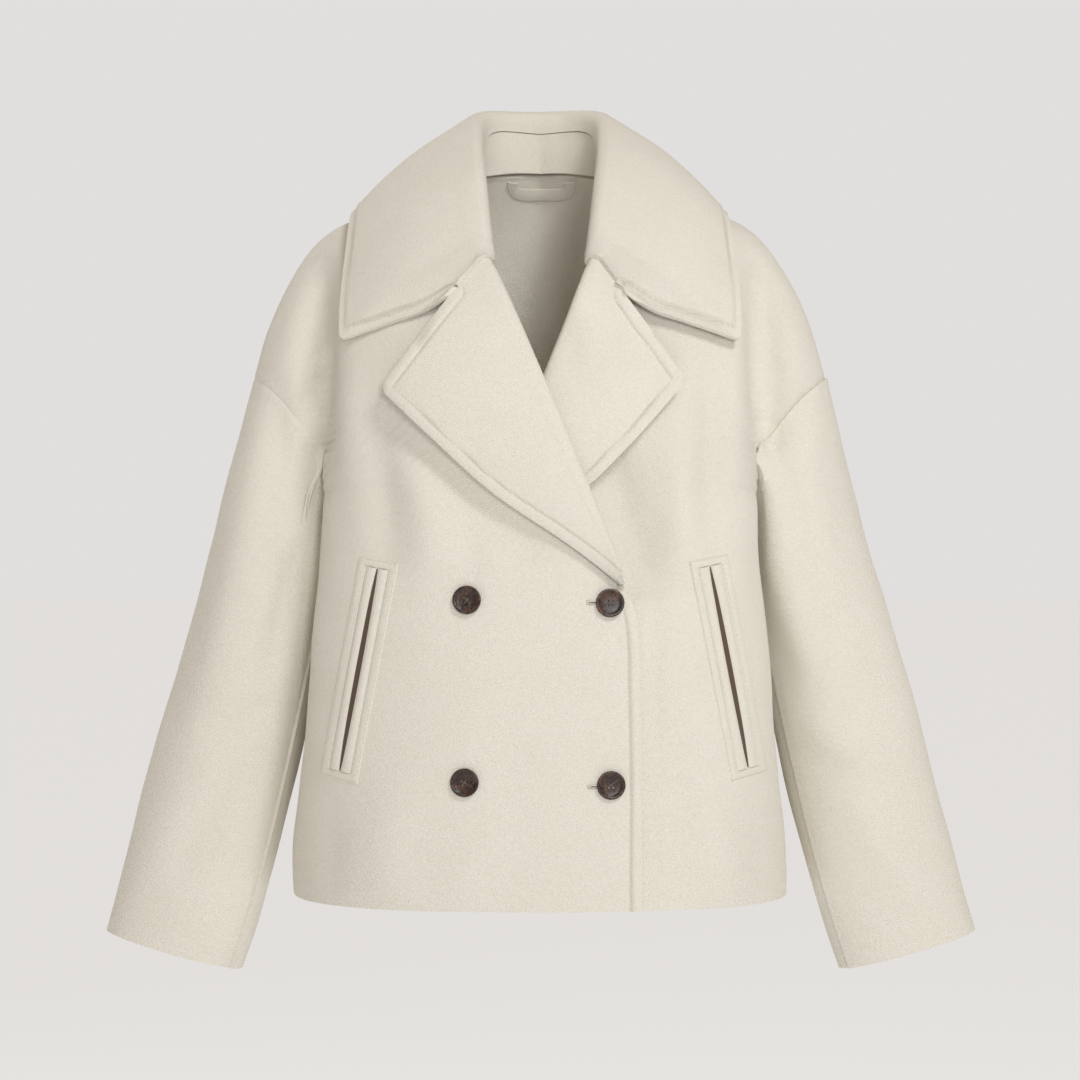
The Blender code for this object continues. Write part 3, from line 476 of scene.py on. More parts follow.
FRONT_CREASES = (
    # The right chest: beside the armhole, from the collar's corner, under the lapel.
    (((-194, -60), (-197, -150), (-192, -250)), 16, -13.0),
    (((-166, -110), (-166, -200), (-170, -290)), 17, 3.2),
    (((-146, -195), (-136, -270), (-128, -360)), 17, -7.0),
    (((-108, -250), (-98, -300), (-96, -360)), 14, 3.0),
    (((-140, -206), (-80, -272), (10, -342)), 18, -9.0),
    (((-70, -290), (-60, -330), (-58, -366)), 13, -2.6),
    # The left chest: under the collar, beside the roll line and by the armhole.
    (((196, -60), (199, -150), (194, -250)), 16, -13.0),
    (((170, -110), (173, -200), (176, -310)), 16, 3.4),
    (((148, -140), (150, -240), (147, -345)), 17, -9.0),
    (((118, -225), (122, -290), (124, -370)), 17, 3.4),
    (((50, -222), (71, -292), (86, -378)), 24, -15.0),
    # The under front's dip beside the upper front's edge.
    (((99, -372), (98.5, -500), (95, -652)), 8, -4.5),
    # The skirt, from the pockets to the hem.
    (((-120, -520), (-128, -580), (-132, -645)), 24, 3.2),
    (((-176, -540), (-182, -590), (-184, -645)), 16, -2.6),
    (((-30, -470), (-26, -560), (-30, -645)), 26, -2.4),
    (((112, -470), (118, -560), (122, -645)), 20, -5.0),
    (((150, -540), (158, -595), (160, -645)), 17, 3.0),
    (((186, -560), (192, -600), (194, -645)), 14, -2.0),
    # The sleeves: long soft breaks from the armhole, and short ones at the bend of the arm.
    (((-240, -170), (-230, -250), (-240, -340)), 17, -7.0),
    (((-212, -222), (-211, -300), (-220, -380)), 15, -6.5),
    (((-212, -310), (-226, -390), (-250, -460)), 15, -7.0),
    (((-262, -220), (-274, -350), (-300, -480)), 22, 4.0),
    (((-236, -456), (-264, -484), (-308, -494)), 16, -4.6),
    (((-262, -520), (-300, -580), (-330, -640)), 20, -4.0),
    (((-300, -290), (-322, -400), (-344, -510)), 20, -3.4),
    (((242, -170), (232, -250), (242, -340)), 17, -6.5),
    (((212, -222), (211, -300), (220, -380)), 15, -6.5),
    (((212, -312), (228, -394), (252, -464)), 15, -6.6),
    (((264, -216), (280, -350), (306, -480)), 22, 4.0),
    (((238, -478), (268, -506), (312, -518)), 16, -4.2),
    (((272, -540), (308, -600), (338, -656)), 20, -3.6),
    (((304, -300), (330, -410), (352, -530)), 20, -3.4),
)
BACK_CREASES = (
    # Fullness between the shoulder blades, drag at the armholes and a soft skirt.
    (((-14, -60), (-10, -190), (-18, -330)), 26, -6.0),
    (((-92, -110), (-98, -200), (-88, -300)), 26, 4.6),
    (((88, -96), (96, -190), (90, -290)), 28, 5.1),
    (((-190, -120), (-186, -190), (-172, -270)), 15, -7.8),
    (((190, -118), (188, -182), (176, -262)), 15, -7.4),
    (((-160, -250), (-150, -330), (-152, -410)), 18, 5.5),
    (((162, -246), (154, -320), (158, -396)), 18, 5.1),
    (((-120, -400), (-128, -520), (-136, -645)), 26, -6.0),
    (((-52, -430), (-48, -540), (-56, -645)), 28, 5.1),
    (((30, -410), (34, -530), (28, -645)), 28, -5.1),
    (((116, -420), (124, -530), (130, -645)), 26, 5.5),
    (((-228, -186), (-226, -262), (-244, -350)), 19, -6.4),
    (((-206, -312), (-226, -384), (-252, -448)), 15, -6.4),
    (((-238, -492), (-268, -512), (-306, -516)), 16, -5.1),
    (((-276, -556), (-308, -612), (-336, -662)), 20, 4.1),
    (((230, -188), (228, -264), (246, -352)), 19, -6.0),
    (((204, -308), (222, -374), (246, -438)), 15, -6.4),
    (((234, -476), (266, -498), (304, -506)), 16, -5.1),
    (((268, -540), (300, -600), (330, -652)), 20, 4.1),
)
CREASES = tuple(
    Crease(face, *row)
    for face, rows in ((Face.FRONT, FRONT_CREASES), (Face.BACK, BACK_CREASES))
    for row in rows
)

# Slow waves of the whole cloth: direction, wavelength and height.
WAVES = (
    ((1.0, 0.3, 0.25), 118.0, 0.42),
    ((0.35, 0.8, 1.0), 171.0, 0.5),
    ((-0.8, 0.2, 0.6), 83.0, 0.28),
    ((0.1, -0.6, 0.9), 61.0, 0.16),
)


def slow_waves(points: np.ndarray) -> np.ndarray:
    """The unevenness that all thick cloth has.

    Args:
        points: Points of the cloth.

    Returns:
        How far each is lifted.
    """
    lift = np.zeros(points.shape[:-1])
    for number, (way, length, height) in enumerate(WAVES):
        lift += height * np.sin(points @ unit(np.array(way)) * 2 * math.pi / length + number)
    return lift


# --- Finishes --------------------------------------------------------------------------------
def new_finish(name: str) -> tuple[Material, NodeTree, Node]:
    """Starts a material.

    Args:
        name: Its name.

    Returns:
        The material, its nodes and its shader.
    """
    material = bpy.data.materials.new(name)
    material.use_nodes = True
    tree = material.node_tree
    return material, tree, tree.nodes["Principled BSDF"]


def set_values(node: Node, values: dict[str, float | tuple]) -> None:
    """Sets a node's own values, by the names of their sockets."""
    for name, value in values.items():
        node.inputs[name].default_value = value


def feed(tree: NodeTree, socket: NodeSocket, value: NodeSocket | tuple | float) -> None:
    """Links a socket to another one, or sets its colour or number.

    Args:
        tree: The material's nodes.
        socket: The socket.
        value: The other socket, a colour or a number.
    """
    if isinstance(value, NodeSocket):
        tree.links.new(value, socket)
    else:
        socket.default_value = (*value, 1.0) if isinstance(value, tuple) else value


def noise(
    tree: NodeTree, scale: float, detail: float, rough: float = 0.55, warp: float = 0.0
) -> NodeSocket:
    """A noise on the object's own coordinates.

    Args:
        tree: The material's nodes.
        scale: How many of its patches lie side by side on a metre.
        detail: How many finer ones are laid over them.
        rough: How strong the finer ones are.
        warp: How far its patches are drawn out of shape.

    Returns:
        The socket of its value.
    """
    place = tree.nodes.new("ShaderNodeTexCoord")
    made = tree.nodes.new("ShaderNodeTexNoise")
    values = {"Scale": scale, "Detail": detail, "Roughness": rough, "Distortion": warp}
    set_values(made, values)
    tree.links.new(place.outputs["Object"], made.inputs["Vector"])
    return made.outputs["Fac"]


def ramp(tree: NodeTree, value: NodeSocket, *stops: tuple[float, Point]) -> NodeSocket:
    """A colour ramp.

    Args:
        tree: The material's nodes.
        value: The socket that it follows.
        stops: Places and their colours.

    Returns:
        The socket of its colour.
    """
    made = tree.nodes.new("ShaderNodeValToRGB")
    while len(made.color_ramp.elements) < len(stops):
        made.color_ramp.elements.new(0.5)
    for element, (place, color) in zip(made.color_ramp.elements, stops):
        element.position = place
        element.color = (*color, 1.0)
    tree.links.new(value, made.inputs["Fac"])
    return made.outputs["Color"]


def mixed(
    tree: NodeTree,
    kind: str,
    share: NodeSocket | float,
    first: NodeSocket | tuple,
    second: NodeSocket | tuple,
) -> NodeSocket:
    """Two colours mixed.

    Args:
        tree: The material's nodes.
        kind: Blender's name of the way to mix.
        share: How much of the second.
        first: A colour or the socket that gives it.
        second: The same for the other one.

    Returns:
        The socket of the mixed colour.
    """
    made = tree.nodes.new("ShaderNodeMix")
    made.data_type = "RGBA"
    made.blend_type = kind
    share_in, first_in, second_in = made.inputs[0], made.inputs[6], made.inputs[7]
    for socket, value in ((share_in, share), (first_in, first), (second_in, second)):
        feed(tree, socket, value)
    return made.outputs[2]


def reckon(tree: NodeTree, kind: str, *values: NodeSocket | float) -> NodeSocket:
    """Reckons with one Math node.

    Args:
        tree: The material's nodes.
        kind: Blender's name of the sum.
        values: The sockets or numbers that go into it.

    Returns:
        The socket of the result.
    """
    made = tree.nodes.new("ShaderNodeMath")
    made.operation = kind
    for socket, value in zip(made.inputs, values):
        feed(tree, socket, value)
    return made.outputs[0]


def bumped(
    tree: NodeTree, height: NodeSocket, depth: float, under: NodeSocket | None = None
) -> NodeSocket:
    """A bump, over another one if there is one.

    Args:
        tree: The material's nodes.
        height: The socket that it follows.
        depth: Its depth in metres.
        under: The normal that it is laid over.

    Returns:
        The socket of its normal.
    """
    made = tree.nodes.new("ShaderNodeBump")
    set_values(made, {"Strength": 1.0, "Distance": depth})
    tree.links.new(height, made.inputs["Height"])
    if under is not None:
        tree.links.new(under, made.inputs["Normal"])
    return made.outputs["Normal"]


@dataclass(frozen=True)
class WoolFinish:
    """Brushed thick wool: a felted nap over a fine twill, a little uneven in tone, with painted
    shade in its stitched grooves.

    Args:
        name: Its name.
        light: Its lighter tone.
        dark: Its darker tone.
        in_seam: Painted shade in the groove of a line of stitches: what its tone is multiplied by
            there.
        nap: Depth of the nap, in metres.
        felt: Depth of the felted curls.
        rib: Depth of the twill.
        twill: Distance from rib to rib.
        slant: How far the ribs lean.
    """

    name: str
    light: Point
    dark: Point
    in_seam: Point = (0.74, 0.71, 0.67)
    nap: float = 0.00032
    felt: float = 0.00032 * 1.4
    rib: float = 0.00012
    twill: float = 0.0021
    slant: float = 0.8

    def build(self) -> Material:
        """Makes the cloth.

        Returns:
            The material.
        """
        material, tree, shader = new_finish(self.name)
        clouds = noise(tree, 26.0, 3.0)
        flecks = noise(tree, 1150.0, 4.0, 0.7)
        curls = noise(tree, 430.0, 3.0, 0.62, 0.8)
        tone = mixed(tree, "MIX", clouds, self.dark, self.light)
        grain = ramp(tree, flecks, (0.28, (0.86, 0.85, 0.83)), (0.62, WHITE))
        tone = mixed(tree, "MULTIPLY", 0.55, tone, grain)
        felted = ramp(tree, curls, (0.3, (0.93, 0.92, 0.905)), (0.6, WHITE))
        tone = mixed(tree, "MULTIPLY", 0.9, tone, felted)
        # Painted shade: the stitch attribute darkens the tone in the grooves of the stitched lines.
        stitched = tree.nodes.new("ShaderNodeAttribute")
        stitched.attribute_name = "stitch"
        tone = mixed(tree, "MULTIPLY", stitched.outputs["Fac"], tone, self.in_seam)
        tree.links.new(tone, shader.inputs["Base Color"])
        brushed = bumped(tree, flecks, self.nap)
        brushed = bumped(tree, curls, self.felt, brushed)
        brushed = bumped(tree, self._ribs(tree), self.rib, brushed)
        tree.links.new(brushed, shader.inputs["Normal"])
        matt = {"Roughness": 0.93, "Specular IOR Level": 0.22}
        fuzz = {"Sheen Weight": 0.22, "Sheen Roughness": 0.45, "Sheen Tint": (1.0, 0.97, 0.92, 1.0)}
        set_values(shader, {**matt, **fuzz})
        return material

    def _ribs(self, tree: NodeTree) -> NodeSocket:
        """Slanted ribs on the cloth's own map, which is in metres.

        Args:
            tree: The material's nodes.

        Returns:
            The socket of their height, from 0 to 1.
        """
        place = tree.nodes.new("ShaderNodeUVMap")
        place.uv_map = "cloth"
        parts = tree.nodes.new("ShaderNodeSeparateXYZ")
        tree.links.new(place.outputs["UV"], parts.inputs[0])
        along = reckon(tree, "MULTIPLY_ADD", parts.outputs["X"], self.slant, parts.outputs["Y"])
        turn = reckon(tree, "MULTIPLY", along, 2 * math.pi / self.twill)
        return reckon(tree, "MULTIPLY_ADD", reckon(tree, "SINE", turn), 0.5, 0.5)


@dataclass(frozen=True)
class PlainClothFinish:
    """A thin cloth or thread in one tone, with its fibres.

    Args:
        name: Its name.
        color: Its tone.
        roughness: How matt it is.
        fibre: Depth of its fibres, in metres.
        shaded: Tone between the fibres, as a share of its own.
    """

    name: str
    color: Point
    roughness: float
    fibre: float = 0.0002
    shaded: float = 0.72

    def build(self) -> Material:
        """Makes the cloth.

        Returns:
            The material.
        """
        material, tree, shader = new_finish(self.name)
        fibres = noise(tree, 1600.0, 3.0, 0.6)
        dark = tuple(self.shaded * part for part in self.color)
        tree.links.new(mixed(tree, "MIX", fibres, dark, self.color), shader.inputs["Base Color"])
        tree.links.new(bumped(tree, fibres, self.fibre), shader.inputs["Normal"])
        set_values(shader, {"Roughness": self.roughness, "Sheen Weight": 0.1})
        return material


@dataclass(frozen=True)
class HornFinish:
    """Polished dark horn: brown and purple-black clouds with amber streaks.

    Args:
        name: Its name.
        ground: Places and colours of the clouds.
        veins: Places and colours of the streaks.
        scratch: Depth of the wear, in metres.
    """

    name: str = "dark_horn"
    ground: tuple[tuple[float, Point], ...] = (
        (0.32, (0.010, 0.006, 0.006)),
        (0.5, (0.030, 0.017, 0.015)),
        (0.68, (0.085, 0.042, 0.024)),
    )
    veins: tuple[tuple[float, Point], ...] = (
        (0.56, (0.0, 0.0, 0.0)),
        (0.66, (0.26, 0.11, 0.035)),
        (0.75, (0.48, 0.33, 0.20)),
    )
    scratch: float = 0.00012

    def build(self) -> Material:
        """Makes the horn.

        Returns:
            The material.
        """
        material, tree, shader = new_finish(self.name)
        clouds = noise(tree, 120.0, 5.0, 0.6, 1.4)
        streaks = noise(tree, 210.0, 6.0, 0.7, 2.6)
        ground, veins = ramp(tree, clouds, *self.ground), ramp(tree, streaks, *self.veins)
        tree.links.new(mixed(tree, "ADD", 0.75, ground, veins), shader.inputs["Base Color"])
        wear = ramp(tree, streaks, (0.3, (0.26, 0.26, 0.26)), (0.8, (0.42, 0.42, 0.42)))
        tree.links.new(wear, shader.inputs["Roughness"])
        tree.links.new(bumped(tree, streaks, self.scratch), shader.inputs["Normal"])
        gloss = {"Specular IOR Level": 0.35, "Coat Weight": 0.12, "Coat Roughness": 0.25}
        set_values(shader, gloss)
        return material


WOOL = WoolFinish("cream_wool", (0.795, 0.757, 0.672), (0.762, 0.719, 0.628))
# A dark finish that paints the shade in the slits of the pockets and the buttonholes.
SLIT_SHADE_FINISH = PlainClothFinish("pocket_cloth", (0.115, 0.075, 0.05), 0.95)
CREAM_THREAD = PlainClothFinish("cream_thread", (0.74, 0.68, 0.58), 0.7)
BROWN_THREAD = PlainClothFinish("brown_thread", (0.17, 0.125, 0.095), 0.75)


# --- Making pieces ---------------------------------------------------------------------------
def settle(item: Object, slot: str, *replaced: str) -> None:
    """Names a finished piece's body, hides the solids that it stands for, and reports it.

    Args:
        item: The piece.
        slot: The slot of its material. Not used.
        replaced: The solids that it stands for.
    """
    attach(item, BODY)
    if replaced:
        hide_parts(*replaced)
    LOG.info("%s: %d faces", item.name, len(item.data.polygons))


def new_object(name: str, data: ID) -> Object:
    """Puts a new object into the scene.

    Args:
        name: Its name.
        data: Its mesh, curve, lamp or camera.

    Returns:
        The object.
    """
    item = bpy.data.objects.new(name, data)
    bpy.context.scene.collection.objects.link(item)
    return item


def select_only(item: Object) -> None:
    """Makes a piece the active one and the only one selected.

    Args:
        item: The piece.
    """
    bpy.ops.object.select_all(action="DESELECT")
    item.select_set(True)
    bpy.context.view_layer.objects.active = item


def apply_modifiers(item: Object) -> None:
    """Applies all modifiers of a piece in their order."""
    select_only(item)
    for modifier in list(item.modifiers):
        bpy.ops.object.modifier_apply(modifier=modifier.name)


def mesh_piece(name: str, points: np.ndarray, faces: list, finish: Material) -> Object:
    """Makes a piece at the origin.

    Args:
        name: Its name.
        points: Its points, in millimetres.
        faces: Point numbers of each face.
        finish: Its finish.

    Returns:
        The piece.
    """
    mesh = bpy.data.meshes.new(name)
    mesh.from_pydata((np.asarray(points, float) * MM).tolist(), [], faces)
    mesh.materials.append(finish)
    mesh.shade_smooth()
    return new_object(name, mesh)


def grid_piece(name: str, grid: np.ndarray, out: float, finish: Material) -> Object:
    """Makes a sheet without thickness, with a map of the cloth in metres.

    Args:
        name: Its name.
        grid: Its points.
        out: 1 where columns crossed with rows points out of the cloth, or -1.
        finish: Its finish.

    Returns:
        The sheet.
    """
    quads = cells(grid)
    if out < 0:
        quads = quads[:, ::-1]
    item = mesh_piece(name, grid.reshape(-1, 3), quads.tolist(), finish)
    spread = np.meshgrid(grid_length(grid, 1), grid_length(grid, 0))
    flat = np.stack(spread, axis=-1).reshape(-1, 2) * MM
    layer = item.data.uv_layers.new(name="cloth")
    layer.data.foreach_set("uv", flat[quads.reshape(-1)].astype(np.float32).reshape(-1))
    return item


def give_wall(
    item: Object, wall: float, rounding: float, group: str = "", thinnest: float = 0.0
) -> None:
    """Gives a sheet its thickness inwards, and rounds its rim.

    Args:
        item: The sheet.
        wall: The thickness.
        rounding: Radius of the rim.
        group: The vertex group that thins it, where there is one.
        thinnest: Share of the thickness that is left outside that group.
    """
    solid = item.modifiers.new("wall", "SOLIDIFY")
    solid.thickness = wall * MM
    solid.offset = -1.0
    solid.use_quality_normals = True
    if group:
        solid.vertex_group = group
        solid.thickness_vertex_group = thinnest
    rim = item.modifiers.new("rim", "BEVEL")
    rim.width = rounding * MM
    rim.segments = 3
    rim.limit_method = "ANGLE"
    rim.angle_limit = math.radians(52)
    apply_modifiers(item)
    item.data.shade_smooth()


@dataclass(frozen=True)
class StitchedBand:
    """The raised border along an edge that is stitched through, with painted shade in its line of
    stitches.

    Args:
        width: From the edge to the stitches.
        puff: How far it is raised.
        fullness: How soon it rises from the edge, less for sooner.
        groove: Depth of the line of stitches.
        groove_half: Half the width of that line.
        dark: How dark the painted shade in that line is at most.
        dark_half: Half the width of the painted shade's darkest part.
    """

    width: float = 9.6
    puff: float = 0.85
    fullness: float = 0.75
    groove: float = 0.85
    groove_half: float = 1.15
    dark: float = 0.8
    dark_half: float = 0.7

    def lift(self, away: np.ndarray) -> np.ndarray:
        """Reckons the lift of cloth.

        Args:
            away: Distances from the edge.

        Returns:
            The lift at each.
        """
        inside = np.clip(away / self.width, 0.0, 1.0)
        sunk = self.groove * np.exp(-(((away - self.width) / self.groove_half) ** 2))
        return self.puff * np.sin(np.pi * inside) ** self.fullness - sunk

    def shade(self, away: np.ndarray) -> np.ndarray:
        """Painted shade: how much the cloth's tone is darkened in the groove of the stitches and
        near it.
        """
        return self.dark * np.exp(-(((away - self.width) / self.dark_half) ** 2))


BAND = StitchedBand()
SEAM_DIP = 0.7
SEAM_HALF = 1.8


@dataclass(frozen=True)
class SeamPull:
    """How an edge is drawn to a seam.

    Args:
        lap: How far the edge goes past it.
        reach: Distance at which the cloth stays where it is.
        gap: Largest distance from the seam at which a point goes all the way.
    """

    lap: float
    reach: float
    gap: float


GORGE_PULL = SeamPull(0.7, 14.0, 5.0)
SLEEVE_PULL = SeamPull(0.4, 22.0, 12.0)
ARMHOLE_PULL = SeamPull(0.5, 38.0, 9.0)
GORGE_SMOOTHING = 6
ARMHOLE_FOOT = 296.0  # height of the underarm, below the neck


@dataclass(frozen=True)
class EdgePart:
    """The part of a grid's edge that lies this far out or down.

    Args:
        edge: The grid's edge.
        axis: 0 for X and 2 for Z.
        low: Least distance from the coat's middle or from the neck.
    """

    edge: Edge
    axis: int = 2
    low: float = 0.0

    def of(self, grid: np.ndarray) -> np.ndarray:
        """The edge's points within the limit."""
        points = border(grid, self.edge)
        return points[np.abs(points[:, self.axis]) >= self.low]


@dataclass
class ClothSheet:
    """One cut piece of the coat's cloth.

    Args:
        plan: The grid of its solid.
        flat: Width and length of its cut, in metres. Not used.
        wall: Thickness.
        spacing: Distance between its points.
        grown: How far each edge is let out, to close the space that the solids leave.
        stitched: Edges with a raised stitched border.
        sewn: Edges that are seams.
        finer: Edges near which points lie closer together.
        creased: Whether the coat's creases reach it.
        rounding: Radius of its rim.
        corners: Rows at which the last column has a corner.
        eased: How many times its columns are smoothed.
        grid: The points of its finished outside.
        normals: The outward directions there.
        away: Distances from the stitched edges.
        shade: Painted shade at each point: how dark it is made for the groove of the stitches
            beside it.
        out: 1 where columns crossed with rows points out of the cloth, or -1.
    """

    plan: GridPlan
    flat: Spot
    wall: float = 3.0
    spacing: float = 3.3
    grown: tuple[tuple[Edge, float], ...] = ()
    stitched: tuple[EdgePart, ...] = ()
    sewn: tuple[EdgePart, ...] = ()
    finer: tuple[Edge, ...] = ()
    creased: bool = True
    rounding: float = 1.1
    corners: tuple[int, ...] = ()
    eased: int = 0
    grid: np.ndarray = field(init=False)
    normals: np.ndarray = field(init=False)
    away: np.ndarray = field(init=False)
    shade: np.ndarray = field(init=False)
    out: float = field(init=False)

    def shape(self) -> None:
        """Works out the piece's finished outside and the painted shade in the grooves of its
        stitches.
        """
        grid, self.out = self.plan.outside()
        for _ in range(self.eased):
            grid[1:-1, 1:-1] = (grid[:-2, 1:-1] + grid[1:-1, 1:-1] * 2 + grid[2:, 1:-1]) / 4
        for edge, amount in self.grown:
            grid = self._let_out(grid, edge, amount)
        for axis in (0, 1):
            close = {edge.value[1]: FINE_EDGE for edge in self.finer if edge.value[0] == axis}
            grid = refined(grid, axis, self.spacing, close, self.corners if axis == 0 else ())
        grid = self._trimmed(grid)
        normals = grid_normals(grid, self.out)
        lift = np.zeros(grid.shape[:2])
        for crease in CREASES if self.creased else ():
            lift += crease.at(grid)
        lift += slow_waves(grid) * (1.0 if self.creased else CALM)
        self.away = np.full(grid.shape[:2], FAR)
        for part in self.stitched:
            self.away = np.minimum(self.away, distance_to(grid, part.of(grid)))
        # Painted shade along the stitched grooves, kept for the wool's tone.
        self.shade = np.zeros(grid.shape[:2])
        if self.stitched:
            lift += BAND.lift(self.away)
            self.shade = BAND.shade(self.away)
        for part in self.sewn:
            near = distance_to(grid, part.of(grid))
            lift -= SEAM_DIP * np.exp(-((near / SEAM_HALF) ** 2))
        self.grid = grid + normals * lift[..., None]
        self.normals = grid_normals(self.grid, self.out)

    def draw_to(self, edge: Edge, seam: np.ndarray, pull: SeamPull) -> None:
        """Draws one edge to a seam where they are close, and the cloth beside it less and less.

        Args:
            edge: The edge.
            seam: The seam's line.
            pull: How it is drawn.
        """
        axis, place = edge.value
        lines = self.grid.swapaxes(0, axis)
        if place == -1:
            lines = lines[::-1]
        target = nearest_on(seam, lines[0])
        away = np.linalg.norm(target - lines[0], axis=1)
        share = 1.0 - smooth_step(away, pull.gap, pull.gap * 2)
        past = unit(lines[0] - lines[PULL_ROW]) * pull.lap
        shift = (target + past - lines[0]) * share[:, None]
        fading = 1.0 - smooth_step(grid_length(lines, 0), 0.0, pull.reach)
        lines += shift[None] * fading[:, None, None]
        self.normals = grid_normals(self.grid, self.out)

    def _let_out(self, grid: np.ndarray, edge: Edge, amount: float) -> np.ndarray:
        """Moves one edge outwards.

        Args:
            grid: The sheet's points.
            edge: The edge.
            amount: How far it moves.

        Returns:
            The new points.
        """
        grid = grid.copy()
        axis, place = edge.value
        lines = grid.swapaxes(0, axis)
        lines[place] += unit(lines[place] - lines[1 if place == 0 else -2]) * amount
        return grid

    def _trimmed(self, grid: np.ndarray) -> np.ndarray:
        """The grid after any work on its corners."""
        return grid

    def build(self, finish: Material) -> None:
        """Builds the piece and settles it on the coat.

        Args:
            finish: The cloth.
        """
        name = f"{self.plan.node}_wool"
        item = grid_piece(name, self.grid, self.out, finish)
        # Painted shade: the groove darkening goes to the stitch attribute that the wool's tone is
        # multiplied by.
        painted_shade = item.data.attributes.new("stitch", "FLOAT", "POINT")
        painted_shade.data.foreach_set("value", self.shade.astype(np.float32).reshape(-1))
        self._walled(item)
        settle(item, "wool", self.plan.node)

    def _walled(self, item: Object) -> None:
        """Gives the piece its thickness."""
        give_wall(item, self.wall, self.rounding)

    def stitch_line(self, edge: Edge, inset: float = BAND.width) -> Line:
        """The stitched line beside one edge.

        Args:
            edge: The edge that it follows.
            inset: Its distance from the edge. At a seam it is counted along the cloth.

        Returns:
            Its points and the outward directions there.
        """
        axis, place = edge.value
        kept = (self.grid, self.normals, self.away)
        grid, normals, away = (part.swapaxes(0, 1 - axis) for part in kept)
        if place == -1:
            grid, normals, away = grid[:, ::-1], normals[:, ::-1], away[:, ::-1]
        if not self.stitched:
            away = np.array([path_length(line) for line in grid])
        points, ways = [], []
        for line, way, far in zip(grid, normals, away):
            if far[0] > NEAR_EDGE:
                continue
            reached = int(np.argmax(far >= inset))
            if reached == 0 or far[reached] >= FAR - 1.0:
                continue
            part = (inset - far[reached - 1]) / (far[reached] - far[reached - 1])
            points.append(line[reached - 1] + (line[reached] - line[reached - 1]) * part)
            ways.append(way[reached])
        return np.array(points), np.array(ways)


def round_corner(
    grid: np.ndarray, corner: np.ndarray, first: np.ndarray, second: np.ndarray, radius: float
) -> np.ndarray:
    """Rounds a pointed corner of a sheet.

    Args:
        grid: The sheet's points.
        corner: The corner's point.
        first: A point on one edge, some way from the corner.
        second: A point on the other edge.
        radius: Distance from the corner at which the rounding starts.

    Returns:
        The grid with its corner drawn in.
    """
    sides = np.stack([unit(first - corner), unit(second - corner)], axis=1)
    local = (grid - corner) @ np.linalg.pinv(sides).T / radius
    near = np.all(local < 1.0, axis=-1) & (np.linalg.norm(grid - corner, axis=-1) < radius * 1.6)
    from_centre = 1.0 - local
    size = np.maximum(np.linalg.norm(from_centre, axis=-1), 1e-6)
    largest = np.max(np.abs(from_centre), axis=-1)
    factor = np.where(near & (largest > 0), largest / size, 1.0)
    keep = smooth_step(largest, 0.0, 1.0)
    factor = 1.0 + (factor - 1.0) * keep
    moved = (1.0 - from_centre * factor[..., None]) - local
    shift = np.where(near[..., None], moved, 0.0) * radius @ sides.T
    return grid + shift


# --- The body --------------------------------------------------------------------------------
@dataclass
class CoatBody:
    """The back and the two fronts.

    Args:
        edge_break: Height under which a front's edge is free.
        rows: Rows of each solid's grid.
        front_columns: Columns of a front's grid.
        back_columns: Columns of the back's grid.
    """

    edge_break: float = 366.0
    rows: int = 24
    front_columns: int = 16
    back_columns: int = 39

    def sheets(self) -> dict[str, ClothSheet]:
        """Plans the three cut pieces.

        Returns:
            Each sheet by its solid's name.
        """
        sides = (Edge.FIRST_COLUMN, Edge.LAST_COLUMN)
        made = {
            "back": ClothSheet(
                GridPlan("back", self.rows, self.back_columns, UP, ACROSS),
                flat=(0.77, 0.70),
                grown=((Edge.LAST_ROW, 1.05), *((edge, 0.2) for edge in sides)),
                sewn=tuple(EdgePart(edge) for edge in (Edge.LAST_ROW, *sides)),
                eased=5,
            )
        }
        for side in Side:
            node, outwards = f"front_{side.tag}", (side.value, 0.0, 0.0)
            made[node] = ClothSheet(
                GridPlan(node, self.rows, self.front_columns, UP, outwards),
                flat=(0.42, 0.76),
                grown=((Edge.LAST_ROW, 1.05), (Edge.LAST_COLUMN, 0.2)),
                stitched=(EdgePart(Edge.FIRST_COLUMN, low=self.edge_break),),
                sewn=(EdgePart(Edge.LAST_ROW), EdgePart(Edge.LAST_COLUMN)),
                finer=(Edge.FIRST_COLUMN,),
            )
        return made


# --- Sleeves ---------------------------------------------------------------------------------
@dataclass
class CoatSleeves:
    """Two-piece sleeves under the drop shoulders.

    Args:
        rows: Rows of each solid's grid.
        top_columns: Columns of a top sleeve's grid.
        under_columns: Columns of an under sleeve's grid.
        let_out: How far each seam's edge is let out.
    """

    rows: int = 16
    top_columns: int = 18
    under_columns: int = 8
    let_out: float = 0.9

    def sheets(self) -> dict[str, ClothSheet]:
        """Plans the four cut pieces.

        Returns:
            Each sheet by its solid's name.
        """
        edges = (Edge.FIRST_ROW, Edge.FIRST_COLUMN, Edge.LAST_COLUMN)
        grown = tuple((edge, self.let_out) for edge in edges)
        sewn = tuple(EdgePart(edge) for edge in edges)
        made = {}
        for side in Side:
            for part, columns, way, flat in (
                ("top", self.top_columns, -1.0, (0.32, 0.54)),
                ("under", self.under_columns, 1.0, (0.18, 0.50)),
            ):
                node = f"sleeve_{part}_{side.tag}"
                plan = GridPlan(node, self.rows, columns, DOWN, (0.0, way, 0.0))
                made[node] = ClothSheet(plan, flat=flat, grown=grown, sewn=sewn)
        return made


